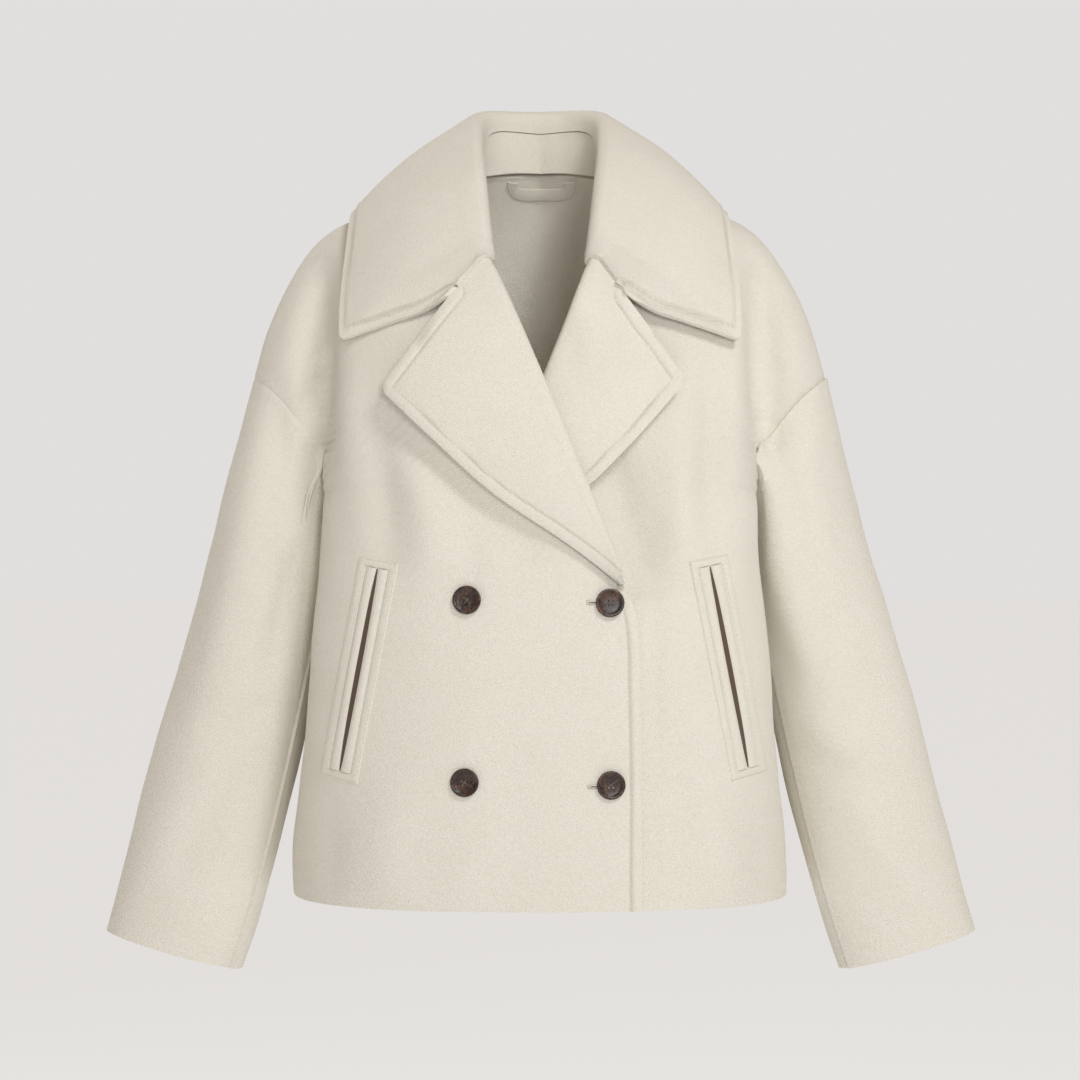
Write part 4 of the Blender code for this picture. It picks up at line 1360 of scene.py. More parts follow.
# --- Collar and lapels -----------------------------------------------------------------------
@dataclass
class LapelSheet(ClothSheet):
    """A lapel: a thick folded sheet that thins where it runs out at the break.

    Args:
        thinnest: Share of its thickness that is left at the break.
        thins_from: Height under which it grows thinner.
        break_height: Height of the break.
        corner_radius: Radius of its point.
    """

    thinnest: float = 0.4
    thins_from: float = 282.0
    break_height: float = 362.0
    corner_radius: float = 9.0

    def _trimmed(self, grid: np.ndarray) -> np.ndarray:
        """The grid with its point rounded."""
        sides = grid[0, -CORNER_REACH], grid[CORNER_REACH, -1]
        return round_corner(grid, grid[0, -1], *sides, self.corner_radius)

    def _walled(self, item: Object) -> None:
        """Gives the lapel its thickness, less near the break.

        Args:
            item: The lapel.
        """
        full = item.vertex_groups.new(name="full")
        down = -self.grid[..., 2].reshape(-1)
        for number, gone in enumerate(smooth_step(down, self.thins_from, self.break_height)):
            full.add([number], float(1.0 - gone), "REPLACE")
        give_wall(item, self.wall, self.rounding, full.name, self.thinnest)
        item.vertex_groups.clear()


@dataclass
class CollarSheet(ClothSheet):
    """The turned-down collar, with a rounded corner on each side.

    Args:
        corner_radius: Radius of its corners.
        corner_lean: How much a point's distance from the middle helps to find a corner.
    """

    corner_radius: float = 6.0
    corner_lean: float = 0.35

    def _trimmed(self, grid: np.ndarray) -> np.ndarray:
        """Rounds both corners.

        Args:
            grid: The sheet's points.

        Returns:
            The new points.
        """
        edge = grid[:, -1]
        for side in Side:
            depth = -edge[:, 2] + side.value * self.corner_lean * edge[:, 0]
            corner = int(np.argmax(np.where(edge[:, 0] * side.value > 0, depth, -np.inf)))
            sides = edge[corner - CORNER_REACH], edge[corner + CORNER_REACH]
            grid = round_corner(grid, edge[corner], *sides, self.corner_radius)
        return grid


@dataclass
class CollarAndLapels:
    """The collar's two pieces and the two lapels.

    Args:
        gorge_end: Distance from the middle at which the seam between them ends.
        doubled: Thickness of the doubled cloth.
        rounding: Radius of its rim.
        lapel_grid: Rows and columns of a lapel's grid.
        fall_grid: Rows and columns of the collar's turned-down part.
        stand_grid: Rows and columns of its standing part.
    """

    gorge_end: float = 73.0
    doubled: float = 4.0
    rounding: float = 1.5
    lapel_grid: tuple[int, int] = (10, 14)
    fall_grid: tuple[int, int] = (41, 13)
    stand_grid: tuple[int, int] = (39, 4)

    def sheets(self) -> dict[str, ClothSheet]:
        """Plans the four cut pieces.

        Returns:
            Each sheet by its solid's name.
        """
        made = {f"lapel_{side.tag}": self._lapel(side) for side in Side}
        made["collar_fall"] = CollarSheet(
            GridPlan("collar_fall", *self.fall_grid, ACROSS, DOWN),
            flat=(0.18, 1.03),
            wall=self.doubled,
            spacing=1.8,
            corners=(4, 36),
            grown=((Edge.FIRST_COLUMN, 0.8),),
            stitched=(EdgePart(Edge.LAST_COLUMN),),
            sewn=(EdgePart(Edge.FIRST_COLUMN),),
            creased=False,
            rounding=self.rounding,
        )
        made["collar_stand"] = ClothSheet(
            GridPlan("collar_stand", *self.stand_grid, ACROSS, UP),
            flat=(0.044, 0.53),
            spacing=2.4,
            grown=((Edge.FIRST_COLUMN, 0.2), (Edge.LAST_COLUMN, 0.4)),
            sewn=(EdgePart(Edge.LAST_COLUMN), EdgePart(Edge.FIRST_COLUMN)),
            creased=False,
        )
        return made

    def _lapel(self, side: Side) -> LapelSheet:
        """Plans one lapel.

        Args:
            side: The wearer's side.

        Returns:
            Its sheet.
        """
        free = EdgePart(Edge.FIRST_ROW, axis=0, low=self.gorge_end)
        return LapelSheet(
            GridPlan(f"lapel_{side.tag}", *self.lapel_grid, DOWN, (side.value, 0.0, 0.0)),
            flat=(0.18, 0.33),
            wall=self.doubled,
            spacing=1.6,
            grown=((Edge.FIRST_COLUMN, 0.2),),
            stitched=(EdgePart(Edge.LAST_COLUMN), free),
            creased=False,
            rounding=self.rounding,
        )


@dataclass
class HangerLoop:
    """The band inside the back neck that the coat hangs by.

    Args:
        flat: Width and length of its cut, in metres.
        wall: Its thickness.
        spacing: Distance between its points.
        rounding: Radius of its rim.
        rows: Rows of its solid's grid.
        columns: Columns of its solid's grid.
    """

    flat: Spot = (0.0165, 0.104)
    wall: float = 1.4
    spacing: float = 1.2
    rounding: float = 0.5
    rows: int = 3
    columns: int = 13

    def sheets(self) -> dict[str, ClothSheet]:
        """Plans the band.

        Returns:
            Its sheet by its solid's name.
        """
        plan = GridPlan("hanger_loop", self.rows, self.columns, UP, ACROSS)
        sizes = {"wall": self.wall, "spacing": self.spacing, "rounding": self.rounding}
        return {plan.node: ClothSheet(plan, flat=self.flat, creased=False, **sizes)}


# --- Stitches --------------------------------------------------------------------------------
@dataclass
class Stitching:
    """Rows of short stitches that lie in the grooves.

    Args:
        length: Length of one stitch.
        pitch: Distance from one stitch to the next.
        radius: Half the thread's thickness.
        sunk: How deep the thread's middle lies in the cloth.
        blunt: How pointed its ends are, less for blunter.
    """

    length: float = 3.5
    pitch: float = 4.5
    radius: float = 0.36
    sunk: float = 0.05
    blunt: float = 0.5

    def template(self) -> tuple[np.ndarray, list[tuple[int, ...]]]:
        """Models one stitch along X at the origin.

        Returns:
            Its points and faces.
        """
        bpy.ops.object.select_all(action="DESELECT")
        bpy.ops.mesh.primitive_uv_sphere_add(
            segments=6, ring_count=6, radius=1.0, rotation=(0, math.pi / 2, 0)
        )
        pin = bpy.context.object
        bpy.ops.object.transform_apply(location=False, rotation=True, scale=False)
        points = np.array([vertex.co[:] for vertex in pin.data.vertices])
        faces = [tuple(face.vertices) for face in pin.data.polygons]
        bpy.data.objects.remove(pin)
        points[:, 0] = np.sign(points[:, 0]) * np.abs(points[:, 0]) ** self.blunt
        return points * (self.length / 2, self.radius, self.radius), faces

    def sew(self, name: str, lines: list[Line], finish: Material) -> None:
        """Lays stitches along lines and makes one piece of them.

        Args:
            name: The piece's name.
            lines: The lines.
            finish: The thread.
        """
        shape, shape_faces = self.template()
        points, faces = [], []
        for path, ways in lines:
            length = path_length(path)
            count = int(length[-1] // self.pitch)
            at = (np.arange(count) + 0.5) * length[-1] / max(1, count)
            middle = read_off(path, length, at)
            out = unit(read_off(ways, length, at))
            along = unit(read_off(path, length, at + 1.0) - middle)
            aside = unit(np.cross(out, along))
            for centre, x, y, z in zip(middle - out * self.sunk, along, aside, out):
                start = len(points) * len(shape)
                points.append(centre + shape @ np.stack([x, y, z]))
                faces += [tuple(start + number for number in face) for face in shape_faces]
        settle(mesh_piece(name, np.concatenate(points), faces, finish), "wool")


# --- Small pieces on the fronts --------------------------------------------------------------
class FrontSurface:
    """Finds places on the outside of a finished front."""

    PROBE: float = 2.5  # distance to the places that give the cloth's direction
    AHEAD: float = -400.0  # a place in front of the whole coat

    def __init__(self, sheet: ClothSheet) -> None:
        """Keeps the sheet's cells for looking up.

        Args:
            sheet: The front.
        """
        points = sheet.grid.reshape(-1, 3).tolist()
        self.tree = BVHTree.FromPolygons(points, cells(sheet.grid).tolist())

    def drop(self, places: np.ndarray, lifts: np.ndarray | float) -> Line:
        """Finds points over the cloth.

        Args:
            places: Rows of (x, z).
            lifts: Height over the cloth, for each or for all.

        Returns:
            The points and the outward directions there.
        """
        found = [self.hit(x, z) for x, z in places]
        spots, ways = (np.array(part) for part in zip(*found))
        return spots + ways * np.broadcast_to(lifts, len(spots))[:, None], ways

    def hit(self, x: float, z: float) -> Line:
        """Finds where (x, z) meets the cloth from the front.

        Args:
            x: The place across.
            z: Its height.

        Returns:
            The cloth's point and outward direction there.
        """
        samples = []
        reach = self.PROBE
        for dx, dz in ((0.0, 0.0), (reach, 0.0), (-reach, 0.0), (0.0, reach), (0.0, -reach)):
            start = Vector((x + dx, self.AHEAD, z + dz))
            spot = self.tree.ray_cast(start, Vector((0, 1, 0)))[0]
            if spot is None:
                raise ValueError(f"nothing of this front lies at {x:.1f}, {z:.1f}")
            samples.append(np.array(spot[:]))
        middle, right, left, above, below = samples
        way = unit(np.cross(right - left, above - below))
        return middle, way if way[1] < 0 else -way


def fix_outward(item: Object) -> None:
    """Turns an open sheet on a front so that it faces forwards, and joins its doubled points.

    Args:
        item: The sheet.
    """
    shape = bmesh.new()
    shape.from_mesh(item.data)
    shape.normal_update()
    if sum(face.normal.y * face.calc_area() for face in shape.faces) > 0:
        bmesh.ops.reverse_faces(shape, faces=shape.faces)
    bmesh.ops.remove_doubles(shape, verts=shape.verts, dist=MERGE)
    shape.to_mesh(item.data)
    shape.free()


@dataclass
class WeltPocket:
    """A slanted pocket: a stitched border, two padded lips and, between them, a dark sheet that
    paints the slit's shade.

    Args:
        side: The wearer's side.
        top: Middle of its upper end, distance from the coat's middle and height.
        foot: The same for its lower end.
        width: Width over the border.
        border: Width of the border.
        slit: Largest width of the slit.
        stitch_inset: From the border's edges to its stitches.
        border_sunk: How deep the border's edges lie.
        border_puff: How far its middle is raised from there.
        lip_sunk: How deep a lip's edges lie.
        lip_puff: How far its middle is raised from there.
        lip_tuck: How far a lip goes under the border.
    """

    side: Side
    top: Spot
    foot: Spot
    width: float = 35.5
    border: float = 8.0
    slit: float = 3.0
    stitch_inset: float = 1.3
    border_sunk: float = 0.35
    border_puff: float = 1.75
    lip_sunk: float = 0.9
    lip_puff: float = 3.3
    lip_tuck: float = 0.4

    @property
    def length(self) -> float:
        """Length over the border."""
        return math.dist(self.top, self.foot)

    def place(self, along: np.ndarray | float, across: np.ndarray) -> np.ndarray:
        """Turns places on the pocket into places on the coat.

        Args:
            along: Distances down the pocket.
            across: Distances sideways from its middle.

        Returns:
            Rows of (x, z).
        """
        top, foot = np.array(self.top), np.array(self.foot)
        way = unit(foot - top)
        sideways = np.array([-way[1], way[0]])
        spot = top + np.multiply.outer(along, way) + np.multiply.outer(across, sideways)
        return spot * (self.side.value, 1.0)

    def ring(self, inset: float, long: int = 75, short: int = 13) -> np.ndarray:
        """Goes once round the border.

        Args:
            inset: Distance inside its outline.
            long: Number of points on a long side.
            short: Number of points on a short side, without its ends.

        Returns:
            Rows of (x, z), the last one as the first.
        """
        half = self.width / 2 - inset
        start, end = inset, self.length - inset
        down_way = np.linspace(start, end, long)
        side_way = np.linspace(half, -half, short + 2)[1:-1]
        down = (down_way, np.full(short, end), down_way[::-1], np.full(short, start), [start])
        aside = (np.full(long, half), side_way, np.full(long, -half), -side_way, [half])
        return self.place(np.concatenate(down), np.concatenate(aside))

    def border_lift(self, inset: float) -> float:
        """Height of the border over the front, this far inside its outline."""
        rise = math.sin(math.pi * inset / self.border) ** 0.42
        return -self.border_sunk + self.border_puff * rise

    def border_piece(self, surface: FrontSurface, finish: Material) -> None:
        """Builds the border: flat cloth between two stitched lines.

        Args:
            surface: The front.
            finish: The cloth.
        """
        insets = np.linspace(0.0, self.border, 11)
        grid = [surface.drop(self.ring(inset), self.border_lift(inset))[0] for inset in insets]
        name, out = f"pocket_border_{self.side.tag}", -self.side.value
        item = grid_piece(name, np.array(grid), out, finish)
        fix_outward(item)
        give_wall(item, 1.2, 0.3)
        settle(item, "wool", f"pocket_frame_{self.side.tag}")

    def lip(self, toward: int, surface: FrontSurface, finish: Material) -> None:
        """Builds one padded lip, from the slit out to the border.

        Args:
            toward: -1 for the lip nearer to the coat's middle, 1 for the other.
            surface: The front.
            finish: The cloth.
        """
        inner = self.border - self.lip_tuck
        outer = self.width / 2 - inner
        across = np.linspace(0.0, 1.0, 13)
        padded = np.sin(np.pi * np.clip(across, 0.02, 0.98)) ** 0.5
        lifts = self.lip_puff * padded - self.lip_sunk
        lifts[0] = -self.lip_sunk
        grid = []
        for part in np.linspace(0.0, 1.0, 90):
            down = inner + (self.length - 2 * inner) * part
            gap = 0.25 + self.slit / 2 * math.sin(math.pi * part) ** 0.75
            aside = toward * (gap + (outer - gap) * across)
            full = 0.55 + 0.45 * math.sin(math.pi * min(max(part, 0.02), 0.98)) ** 0.25
            grid.append(surface.drop(self.place(np.full(13, down), aside), lifts * full)[0])
        tag = "side" if toward > 0 else "centre"
        item = grid_piece(f"pocket_lip_{self.side.tag}_{tag}", np.array(grid), 1.0, finish)
        fix_outward(item)
        give_wall(item, 1.0, 0.3)
        settle(item, "wool", f"welt_{self.side.tag}_{tag}")

    def lining(self, surface: FrontSurface, finish: Material) -> None:
        """Builds a dark sheet on the front that paints the shade in the slit.

        Args:
            surface: The front.
            finish: The dark finish of the painted shade.
        """
        # Painted shade: a dark sheet laid over the front in the slit, where the front is not cut.
        lifts = 0.55 - 0.25 * np.cos(np.linspace(-1.2, 1.2, 7))
        grid = []
        for part in np.linspace(0.0, 1.0, 60):
            down = self.border + (self.length - 2 * self.border) * part
            half = 0.3 + (self.slit / 2 + 1.2) * math.sin(math.pi * part) ** 0.8
            aside = half * np.linspace(-1.0, 1.0, 7)
            grid.append(surface.drop(self.place(np.full(7, down), aside), lifts)[0])
        item = grid_piece(f"pocket_lining_{self.side.tag}", np.array(grid), 1.0, finish)
        fix_outward(item)
        give_wall(item, 0.4, 0.1)
        settle(item, "wool")

    def build(self, surface: FrontSurface, wool: Material, dark: Material) -> list[Line]:
        """Builds the pocket.

        Args:
            surface: The front that it is cut into.
            wool: The coat's cloth.
            dark: The dark finish that paints the slit's shade.

        Returns:
            Its lines of stitches.
        """
        self.border_piece(surface, wool)
        for toward in (-1, 1):
            self.lip(toward, surface, wool)
        self.lining(surface, dark)
        insets = (self.stitch_inset, self.border - self.stitch_inset)
        return [surface.drop(self.ring(inset), self.border_lift(inset)) for inset in insets]


@dataclass
class Buttonhole:
    """A worked hole: a dark cord that paints the slit's shade, inside a ring of close stitches.

    Args:
        number: The number of the button that goes through it.
        middle: Its middle (x, z).
        length: Length of the slit.
        width: Width over the stitches.
        inner: From the slit's middle line to the stitches.
        stitches: Their number.
        thread: Half the thickness of their thread.
        cord: Half the thickness of the dark cord in the slit, which paints its shade.
    """

    number: int
    middle: Spot
    length: float = 29.0
    width: float = 4.2
    inner: float = 0.45
    stitches: int = 84
    thread: float = 0.3
    cord: float = 0.5

    def ring(self, aside: float) -> np.ndarray:
        """Goes once round the slit, one step for each stitch.

        Args:
            aside: Distance from its middle line.

        Returns:
            Rows of (x, z).
        """
        half = self.length / 2
        straight = np.linspace(-half, half, 60)
        turn = np.linspace(-math.pi / 2, math.pi / 2, 16)[1:-1]
        right = np.column_stack([half + aside * np.cos(turn), aside * np.sin(turn)])
        lower = np.column_stack([straight, np.full(60, -aside)])
        outline = np.concatenate([lower, right, -lower, -right, lower[:1]])
        return spaced(outline, path_length(outline)[-1] / self.stitches) + self.middle

    def build(self, surface: FrontSurface, cream: Material, dark: Material) -> None:
        """Builds the hole on a front.

        Args:
            surface: The front.
            cream: The finish of the thread.
            dark: The dark finish of the cord that fills the slit and paints its shade.
        """
        along = np.linspace(-self.length / 2, self.length / 2, 40)
        places = np.column_stack([along, np.zeros(40)]) + self.middle
        name = f"buttonhole_{self.number}"
        # Painted shade: a dark cord lies along the slit in place of its shade.
        cord = tubes(f"{name}_slit", [surface.drop(places, -0.05)[0]], self.cord, dark)
        settle(cord, "wool")
        part = np.linspace(0.0, 1.0, 5)[:, None]
        lifts = 0.15 + 0.55 * np.sin(np.pi * np.linspace(0.12, 0.95, 5))
        ends = zip(self.ring(self.inner)[:-1], self.ring(self.width / 2)[:-1])
        paths = [surface.drop(start + part * (end - start), lifts)[0] for start, end in ends]
        settle(tubes(f"{name}_stitches", paths, self.thread, cream, 1), "wool")


@dataclass
class HornButton:
    """A dished four-hole button, modelled flat and then laid on its solid's place.

    Args:
        number: Its number in the record.
        turn: How far it is turned on its thread, in degrees.
        loose_end: Whether the end of its thread lies over it.
        radius: Its radius.
        height: Its thickness at the rim.
        rim: Width of the flat top of the rim.
        edge: Width of the slope inside the rim.
        dish: Depth of that slope.
        well: Width of the second, lower slope.
        well_depth: Depth of that one.
        soft: Radius of its edges.
        hole: Radius of a hole.
        hole_circle: Distance of the holes from the middle.
        thread: Half the thickness of the thread.
        thread_gap: Half the distance between the two threads of a pair.
    """

    number: int
    turn: float
    loose_end: bool = False
    radius: float = 12.1
    height: float = 3.5
    rim: float = 2.1
    edge: float = 1.5
    dish: float = 1.25
    well: float = 2.6
    well_depth: float = 0.25
    soft: float = 0.75
    hole: float = 1.0
    hole_circle: float = 2.5
    thread: float = 0.28
    thread_gap: float = 0.32

    def seat(self) -> tuple[Vector, Vector]:
        """Finds where the button's solid lies.

        Returns:
            The middle of the solid's back and its outward direction.
        """
        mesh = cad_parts[f"button_{self.number}"].data
        points = np.array([vertex.co[:] for vertex in mesh.vertices])
        middle = (points.min(axis=0) + points.max(axis=0)) / 2
        _, _, ways = np.linalg.svd(points - points.mean(axis=0), full_matrices=False)
        way = ways[2] if ways[2][1] < 0 else -ways[2]
        depth = (points - middle) @ way
        return Vector(middle + way * depth.min()), Vector(way)

    def build(self, horn: Material, thread: Material) -> None:
        """Builds the button and its thread.

        Args:
            horn: The button's finish.
            thread: The finish of the thread.
        """
        bpy.ops.object.select_all(action="DESELECT")
        bpy.ops.mesh.primitive_cylinder_add(
            vertices=64,
            radius=self.radius * MM,
            depth=self.height * MM,
            location=(0, 0, self.height * MM / 2),
        )
        button = bpy.context.object
        button.name = f"horn_button_{self.number}"
        bpy.ops.object.transform_apply(location=True, rotation=False, scale=False)
        self._dish(button)
        for step in range(4):
            self._drill(button, math.pi / 4 + step * math.pi / 2)
        self._place(button)
        button.data.materials.clear()
        button.data.materials.append(horn)
        select_only(button)
        bpy.ops.object.shade_smooth_by_angle(angle=math.radians(38))
        settle(button, "horn", f"button_{self.number}")
        self._threads(thread)

    def _select_top(self, item: Object, reach: float = 1.0) -> None:
        """Selects the middle of the top, in edit mode.

        Args:
            item: The button.
            reach: Distance from the middle within which a face's own middle lies.
        """
        shape = bmesh.from_edit_mesh(item.data)
        for part in (*shape.verts, *shape.edges, *shape.faces):
            part.select = False
        for face in shape.faces:
            middle = face.calc_center_median()
            face.select = face.normal.z > 0.7 and middle.xy.length < reach * MM
        shape.select_flush(True)
        bmesh.update_edit_mesh(item.data)

    def _dish(self, button: Object) -> None:
        """Rounds the rim and sinks the middle.

        Args:
            button: The plain round.
        """
        bpy.ops.object.mode_set(mode="EDIT")
        bpy.ops.mesh.select_mode(type="FACE")
        self._select_top(button)
        bpy.ops.mesh.inset(thickness=self.rim * MM)
        for width, depth in ((self.edge, self.dish), (self.well, self.well_depth)):
            bpy.ops.mesh.inset(thickness=width * MM)
            bpy.ops.transform.translate(value=(0, 0, -depth * MM))
        bpy.ops.object.mode_set(mode="OBJECT")
        soft = button.modifiers.new("soft", "BEVEL")
        soft.width = self.soft * MM
        soft.segments = 4
        soft.limit_method = "ANGLE"
        soft.angle_limit = math.radians(24)
        apply_modifiers(button)

    def _drill(self, button: Object, angle: float) -> None:
        """Cuts one hole.

        Args:
            button: The dished round.
            angle: Where the hole lies on its circle.
        """
        away = self.hole_circle * MM
        bpy.ops.object.select_all(action="DESELECT")
        bpy.ops.mesh.primitive_cylinder_add(
            vertices=20,
            radius=self.hole * MM,
            depth=12 * MM,
            location=(away * math.cos(angle), away * math.sin(angle), 0),
        )
        pin = bpy.context.object
        hole = button.modifiers.new("hole", "BOOLEAN")
        hole.object = pin
        hole.operation = "DIFFERENCE"
        hole.solver = "EXACT"
        apply_modifiers(button)
        bpy.data.objects.remove(pin)

    def _place(self, item: Object) -> None:
        """Moves a flat model's mesh to the button's seat on the coat.

        Args:
            item: The model.
        """
        seat, way = self.seat()
        turned = way.to_track_quat("Z", "Y").to_matrix().to_4x4()
        spun = Matrix.Rotation(math.radians(self.turn), 4, "Z")
        item.data.transform(Matrix.Translation(seat) @ turned @ spun)
        item.data.update()

    def _threads(self, finish: Material) -> None:
        """Builds the crossed threads through the holes, and a loose end where one shows.

        Args:
            finish: The finish of the thread.
        """
        paths = []
        part = np.linspace(-1.0, 1.0, 9)
        rise = 0.2 + 2.55 * (1.0 - part**4) - 0.35
        for angle in (math.pi / 4, 3 * math.pi / 4):
            ends = np.array([math.cos(angle), math.sin(angle)]) * self.hole_circle
            for aside in (-self.thread_gap, self.thread_gap):
                shift = np.array([-math.sin(angle), math.cos(angle)]) * aside
                paths.append(np.column_stack([np.multiply.outer(part, ends) + shift, rise]))
        if self.loose_end:
            part = np.linspace(0.0, 1.0, 14)
            x = 0.6 + 2.1 * part + 0.5 * np.sin(5.0 * part)
            y = -1.0 - 10.0 * part
            z = np.interp(part, (0.0, 0.15, 0.75, 0.9, 1.0), (2.0, 2.35, 2.5, 3.75, 3.9))
            paths.append(np.column_stack([x, y, z]))
        item = tubes(f"button_thread_{self.number}", paths, self.thread, finish)
        self._place(item)
        settle(item, "wool")


def tubes(
    name: str, paths: list[np.ndarray], radius: float, finish: Material, roundness: int = 2
) -> Object:
    """Round threads along paths, as one piece.

    Args:
        name: The piece's name.
        paths: Points in millimetres for each thread.
        radius: Half the thread's thickness.
        finish: Its finish.
        roundness: How finely its section is drawn.

    Returns:
        The piece, as a mesh.
    """
    curve = bpy.data.curves.new(name, "CURVE")
    curve.dimensions = "3D"
    curve.bevel_depth = radius * MM
    curve.bevel_resolution = roundness
    curve.use_fill_caps = True
    for path in paths:
        line = curve.splines.new("POLY")
        line.points.add(len(path) - 1)
        for point, place in zip(line.points, path):
            point.co = (*(place * MM), 1.0)
    select_only(new_object(name, curve))
    bpy.ops.object.convert(target="MESH")
    item = bpy.context.object
    item.data.materials.clear()
    item.data.materials.append(finish)
    item.data.shade_smooth()
    return item


# --- Studio ----------------------------------------------------------------------------------
@dataclass(frozen=True)
class SoftLight:
    """One large soft lamp.

    Args:
        name: Its name.
        place: Where it stands, in metres.
        size: Its width, in metres.
        power: Its power in watts.
        color: Its tone.
    """

    name: str
    place: Point
    size: float
    power: float
    color: Point

    def build(self, target: Vector) -> None:
        """Sets the lamp up.

        Args:
            target: The place that it faces.
        """
        data = bpy.data.lights.new(self.name, "AREA")
        data.size = self.size
        data.energy = self.power
        data.color = self.color
        lamp = new_object(self.name, data)
        lamp.location = self.place
        lamp.rotation_euler = (target - Vector(self.place)).to_track_quat("-Z", "Y").to_euler()


@dataclass
class Studio:
    """A pale room without walls, a low floor, soft lamps and the camera. Sizes are in metres.

    Args:
        distance: From the coat's middle to the camera.
        eye_height: Height of the camera.
        frame_width: Width of what the picture shows at the coat's middle.
        sensor: Width of the camera's sensor, in millimetres.
        floor_height: Height of the floor.
        floor_radius: Its radius.
        floor_tone: Its tone.
        floor_glow: Share of the sky's tone that it gives off.
        sky: The background's tone.
        glow: The tone of the light from all round.
        lights: The lamps.
    """

    distance: float = 2.6
    eye_height: float = -0.324
    frame_width: float = 0.972
    sensor: float = 36.0
    floor_height: float = -1.55
    floor_radius: float = 60.0
    floor_tone: Point = (0.44, 0.455, 0.47)
    floor_glow: float = 0.765
    sky: Point = (0.752, 0.737, 0.729)
    glow: Point = (0.405, 0.366, 0.322)
    lights: tuple[SoftLight, ...] = (
        SoftLight("key", (1.25, -2.2, 1.9), 0.7, 38.0, (0.955, 0.985, 1.02)),
        SoftLight("front", (0.55, -3.2, 0.2), 0.6, 29.0, (0.96, 0.99, 1.02)),
        SoftLight("behind", (-1.9, 2.2, 1.5), 1.0, 30.0, (0.98, 0.99, 1.0)),
    )

    def build(self) -> None:
        """Makes the floor, the sky, the lamps and the camera."""
        self._floor()
        self._sky()
        for light in self.lights:
            light.build(Vector((0, 0, self.eye_height)))
        self._camera()
        bpy.context.scene.view_settings.view_transform = "Standard"

    def _floor(self) -> None:
        """A wide floor that gives off some light, so that it meets the sky without an edge."""
        bpy.ops.object.select_all(action="DESELECT")
        place = (0, 0, self.floor_height)
        bpy.ops.mesh.primitive_circle_add(
            vertices=96, radius=self.floor_radius, fill_type="NGON", location=place
        )
        floor = bpy.context.object
        floor.name = "floor"
        material, _, shader = new_finish("pale_floor")
        matt = {"Base Color": (*self.floor_tone, 1.0), "Roughness": 1.0, "Specular IOR Level": 0.0}
        lit = {"Emission Color": (*self.sky, 1.0), "Emission Strength": self.floor_glow}
        set_values(shader, {**matt, **lit})
        floor.data.materials.append(material)

    def _sky(self) -> None:
        """One tone that the camera sees and another one that lights the coat."""
        world = bpy.data.worlds.new("pale_room")
        world.use_nodes = True
        tree = world.node_tree
        seen = tree.nodes.new("ShaderNodeLightPath").outputs["Is Camera Ray"]
        tone = mixed(tree, "MIX", seen, self.glow, self.sky)
        tree.links.new(tone, tree.nodes["Background"].inputs["Color"])
        bpy.context.scene.world = world

    def _camera(self) -> None:
        """The camera, level and straight in front."""
        data = bpy.data.cameras.new("camera")
        data.sensor_width = self.sensor
        data.lens = self.sensor * self.distance / self.frame_width
        camera = new_object("camera", data)
        camera.location = (0.0, -self.distance, self.eye_height)
        camera.rotation_euler = (math.pi / 2, 0.0, 0.0)
        bpy.context.scene.camera = camera


# --- The whole coat --------------------------------------------------------------------------
POCKETS = (
    WeltPocket(Side.RIGHT, (138.0, -341.0), (174.0, -530.5)),
    WeltPocket(Side.LEFT, (144.5, -339.0), (181.5, -528.5)),
)
BUTTONHOLES = (Buttonhole(2, (55.5, -377.0)), Buttonhole(4, (56.5, -533.0)))
BUTTONS = (
    HornButton(1, 8.0, loose_end=True),
    HornButton(2, -6.0),
    HornButton(3, 14.0),
    HornButton(4, 3.0),
)
POCKET_STITCHING = Stitching(length=3.2, pitch=4.1)
STAND_STITCH = 4.5  # from the collar stand's upper edge to its stitches


def close_gorges(sheets: dict[str, ClothSheet]) -> None:
    """Brings the collar's ends and the lapels' upper edges onto one line each.

    Args:
        sheets: The shaped pieces of cloth.
    """
    collar = sheets["collar_fall"]
    for side, end in ((Side.RIGHT, Edge.FIRST_ROW), (Side.LEFT, Edge.LAST_ROW)):
        lapel = sheets[f"lapel_{side.tag}"]
        lower = border(lapel.grid, Edge.FIRST_ROW)
        seam = (lower + nearest_on(border(collar.grid, end), lower)) / 2
        for _ in range(GORGE_SMOOTHING):
            seam[1:-1] = (seam[:-2] + seam[1:-1] * 2 + seam[2:]) / 4
        for sheet, edge in ((collar, end), (lapel, Edge.FIRST_ROW)):
            sheet.draw_to(edge, seam, GORGE_PULL)


def close_sleeves(sheets: dict[str, ClothSheet]) -> None:
    """Brings the edges of each sleeve's two long seams onto one line each.

    Args:
        sheets: The shaped pieces of cloth.
    """
    for side in Side:
        top, under = (sheets[f"sleeve_{part}_{side.tag}"] for part in ("top", "under"))
        for edge in (Edge.FIRST_COLUMN, Edge.LAST_COLUMN):
            line = border(top.grid, edge)
            meets = {
                way: nearest_on(border(under.grid, way), line)
                for way in (Edge.FIRST_COLUMN, Edge.LAST_COLUMN)
            }
            other = min(meets, key=lambda way: float(np.abs(meets[way] - line).sum()))
            seam = (line + meets[other]) / 2
            for sheet, along in ((top, edge), (under, other)):
                sheet.draw_to(along, seam, SLEEVE_PULL)


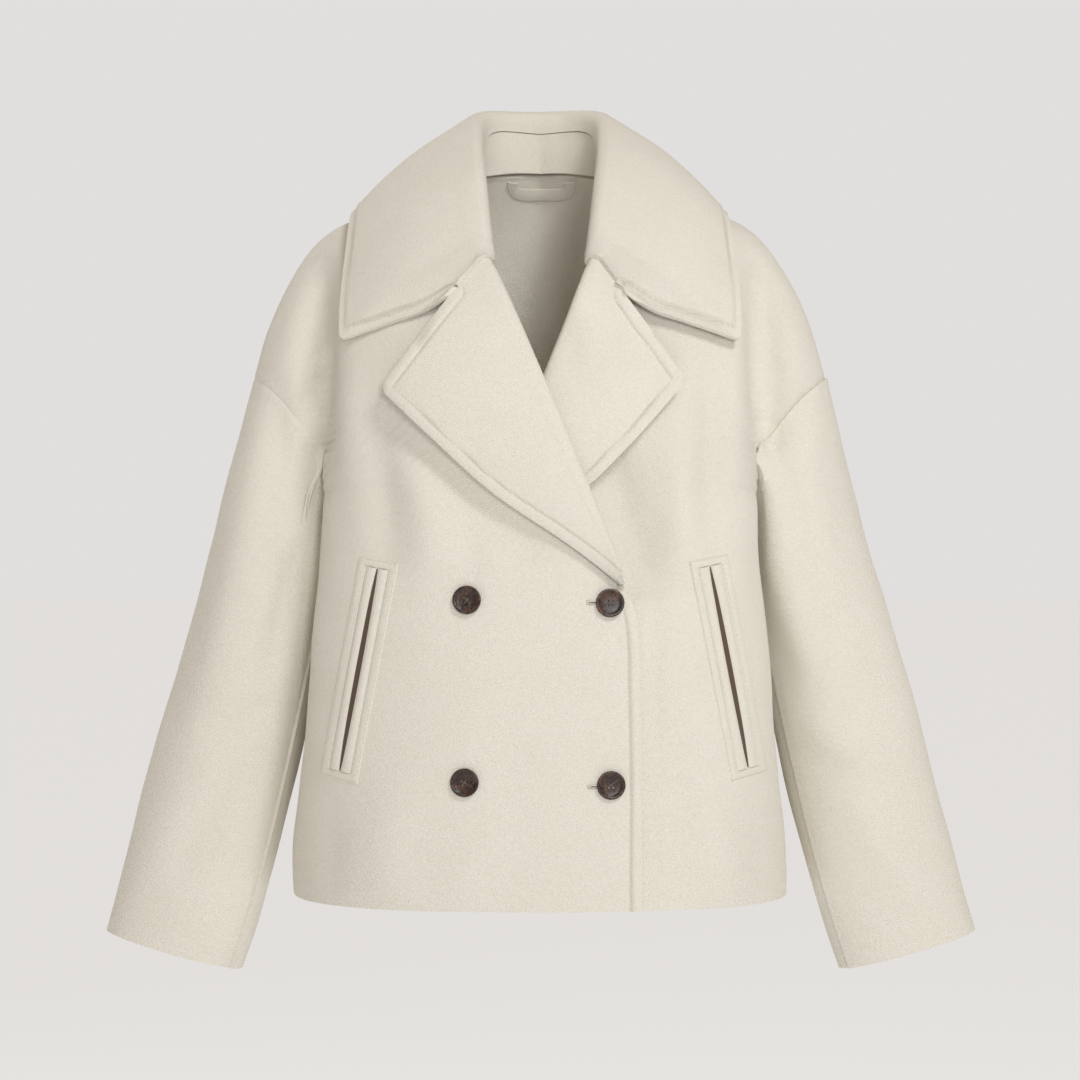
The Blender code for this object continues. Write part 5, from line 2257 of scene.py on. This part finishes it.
def close_armholes(sheets: dict[str, ClothSheet]) -> None:
    """Draws the top of each sleeve to the body's armhole.

    Args:
        sheets: The shaped pieces of cloth.
    """
    for side, edge in ((Side.RIGHT, Edge.FIRST_COLUMN), (Side.LEFT, Edge.LAST_COLUMN)):
        front = border(sheets[f"front_{side.tag}"].grid, Edge.LAST_COLUMN)
        seam = np.concatenate([front, border(sheets["back"].grid, edge)[::-1]])
        seam = seam[seam[:, 2] > -ARMHOLE_FOOT]
        for part in ("top", "under"):
            sheets[f"sleeve_{part}_{side.tag}"].draw_to(Edge.FIRST_ROW, seam, ARMHOLE_PULL)


def sew_edges(sheets: dict[str, ClothSheet], thread: Material) -> None:
    """Sews the stitched lines of the collar, the lapels and the front edge.

    Args:
        sheets: The shaped pieces of cloth.
        thread: The finish of the thread.
    """
    fall, stand = sheets["collar_fall"], sheets["collar_stand"]
    lines = {
        "collar_edge_stitches": [fall.stitch_line(Edge.LAST_COLUMN)],
        "collar_stand_stitches": [stand.stitch_line(Edge.LAST_COLUMN, STAND_STITCH)],
        "front_edge_stitches": [sheets["front_right"].stitch_line(Edge.FIRST_COLUMN)],
    }
    for side in Side:
        lapel = sheets[f"lapel_{side.tag}"]
        ends = (Edge.LAST_COLUMN, Edge.FIRST_ROW)
        lines[f"lapel_stitches_{side.tag}"] = [lapel.stitch_line(edge) for edge in ends]
    for name, path in lines.items():
        Stitching().sew(name, path, thread)


def main() -> None:
    """Builds the coat piece by piece, then the studio."""
    logging.basicConfig(level=logging.INFO, format="%(name)s %(message)s")
    # The dark finish paints the shade in the slits of the pockets and buttonholes.
    wool, dark = WOOL.build(), SLIT_SHADE_FINISH.build()
    cream, brown, horn = CREAM_THREAD.build(), BROWN_THREAD.build(), HornFinish().build()
    sheets = {}
    for part in (CoatBody(), CoatSleeves(), CollarAndLapels(), HangerLoop()):
        sheets.update(part.sheets())
    for sheet in sheets.values():
        sheet.shape()
    close_gorges(sheets)
    close_sleeves(sheets)
    close_armholes(sheets)
    for sheet in sheets.values():
        sheet.build(wool)
    sew_edges(sheets, cream)
    surfaces = {side: FrontSurface(sheets[f"front_{side.tag}"]) for side in Side}
    for pocket in POCKETS:
        lines = pocket.build(surfaces[pocket.side], wool, dark)
        POCKET_STITCHING.sew(f"pocket_stitches_{pocket.side.tag}", lines, cream)
    for hole in BUTTONHOLES:
        hole.build(surfaces[Side.RIGHT], cream, dark)
    for button in BUTTONS:
        button.build(horn, brown)
    Studio().build()


if __name__ == "__main__":
    main()
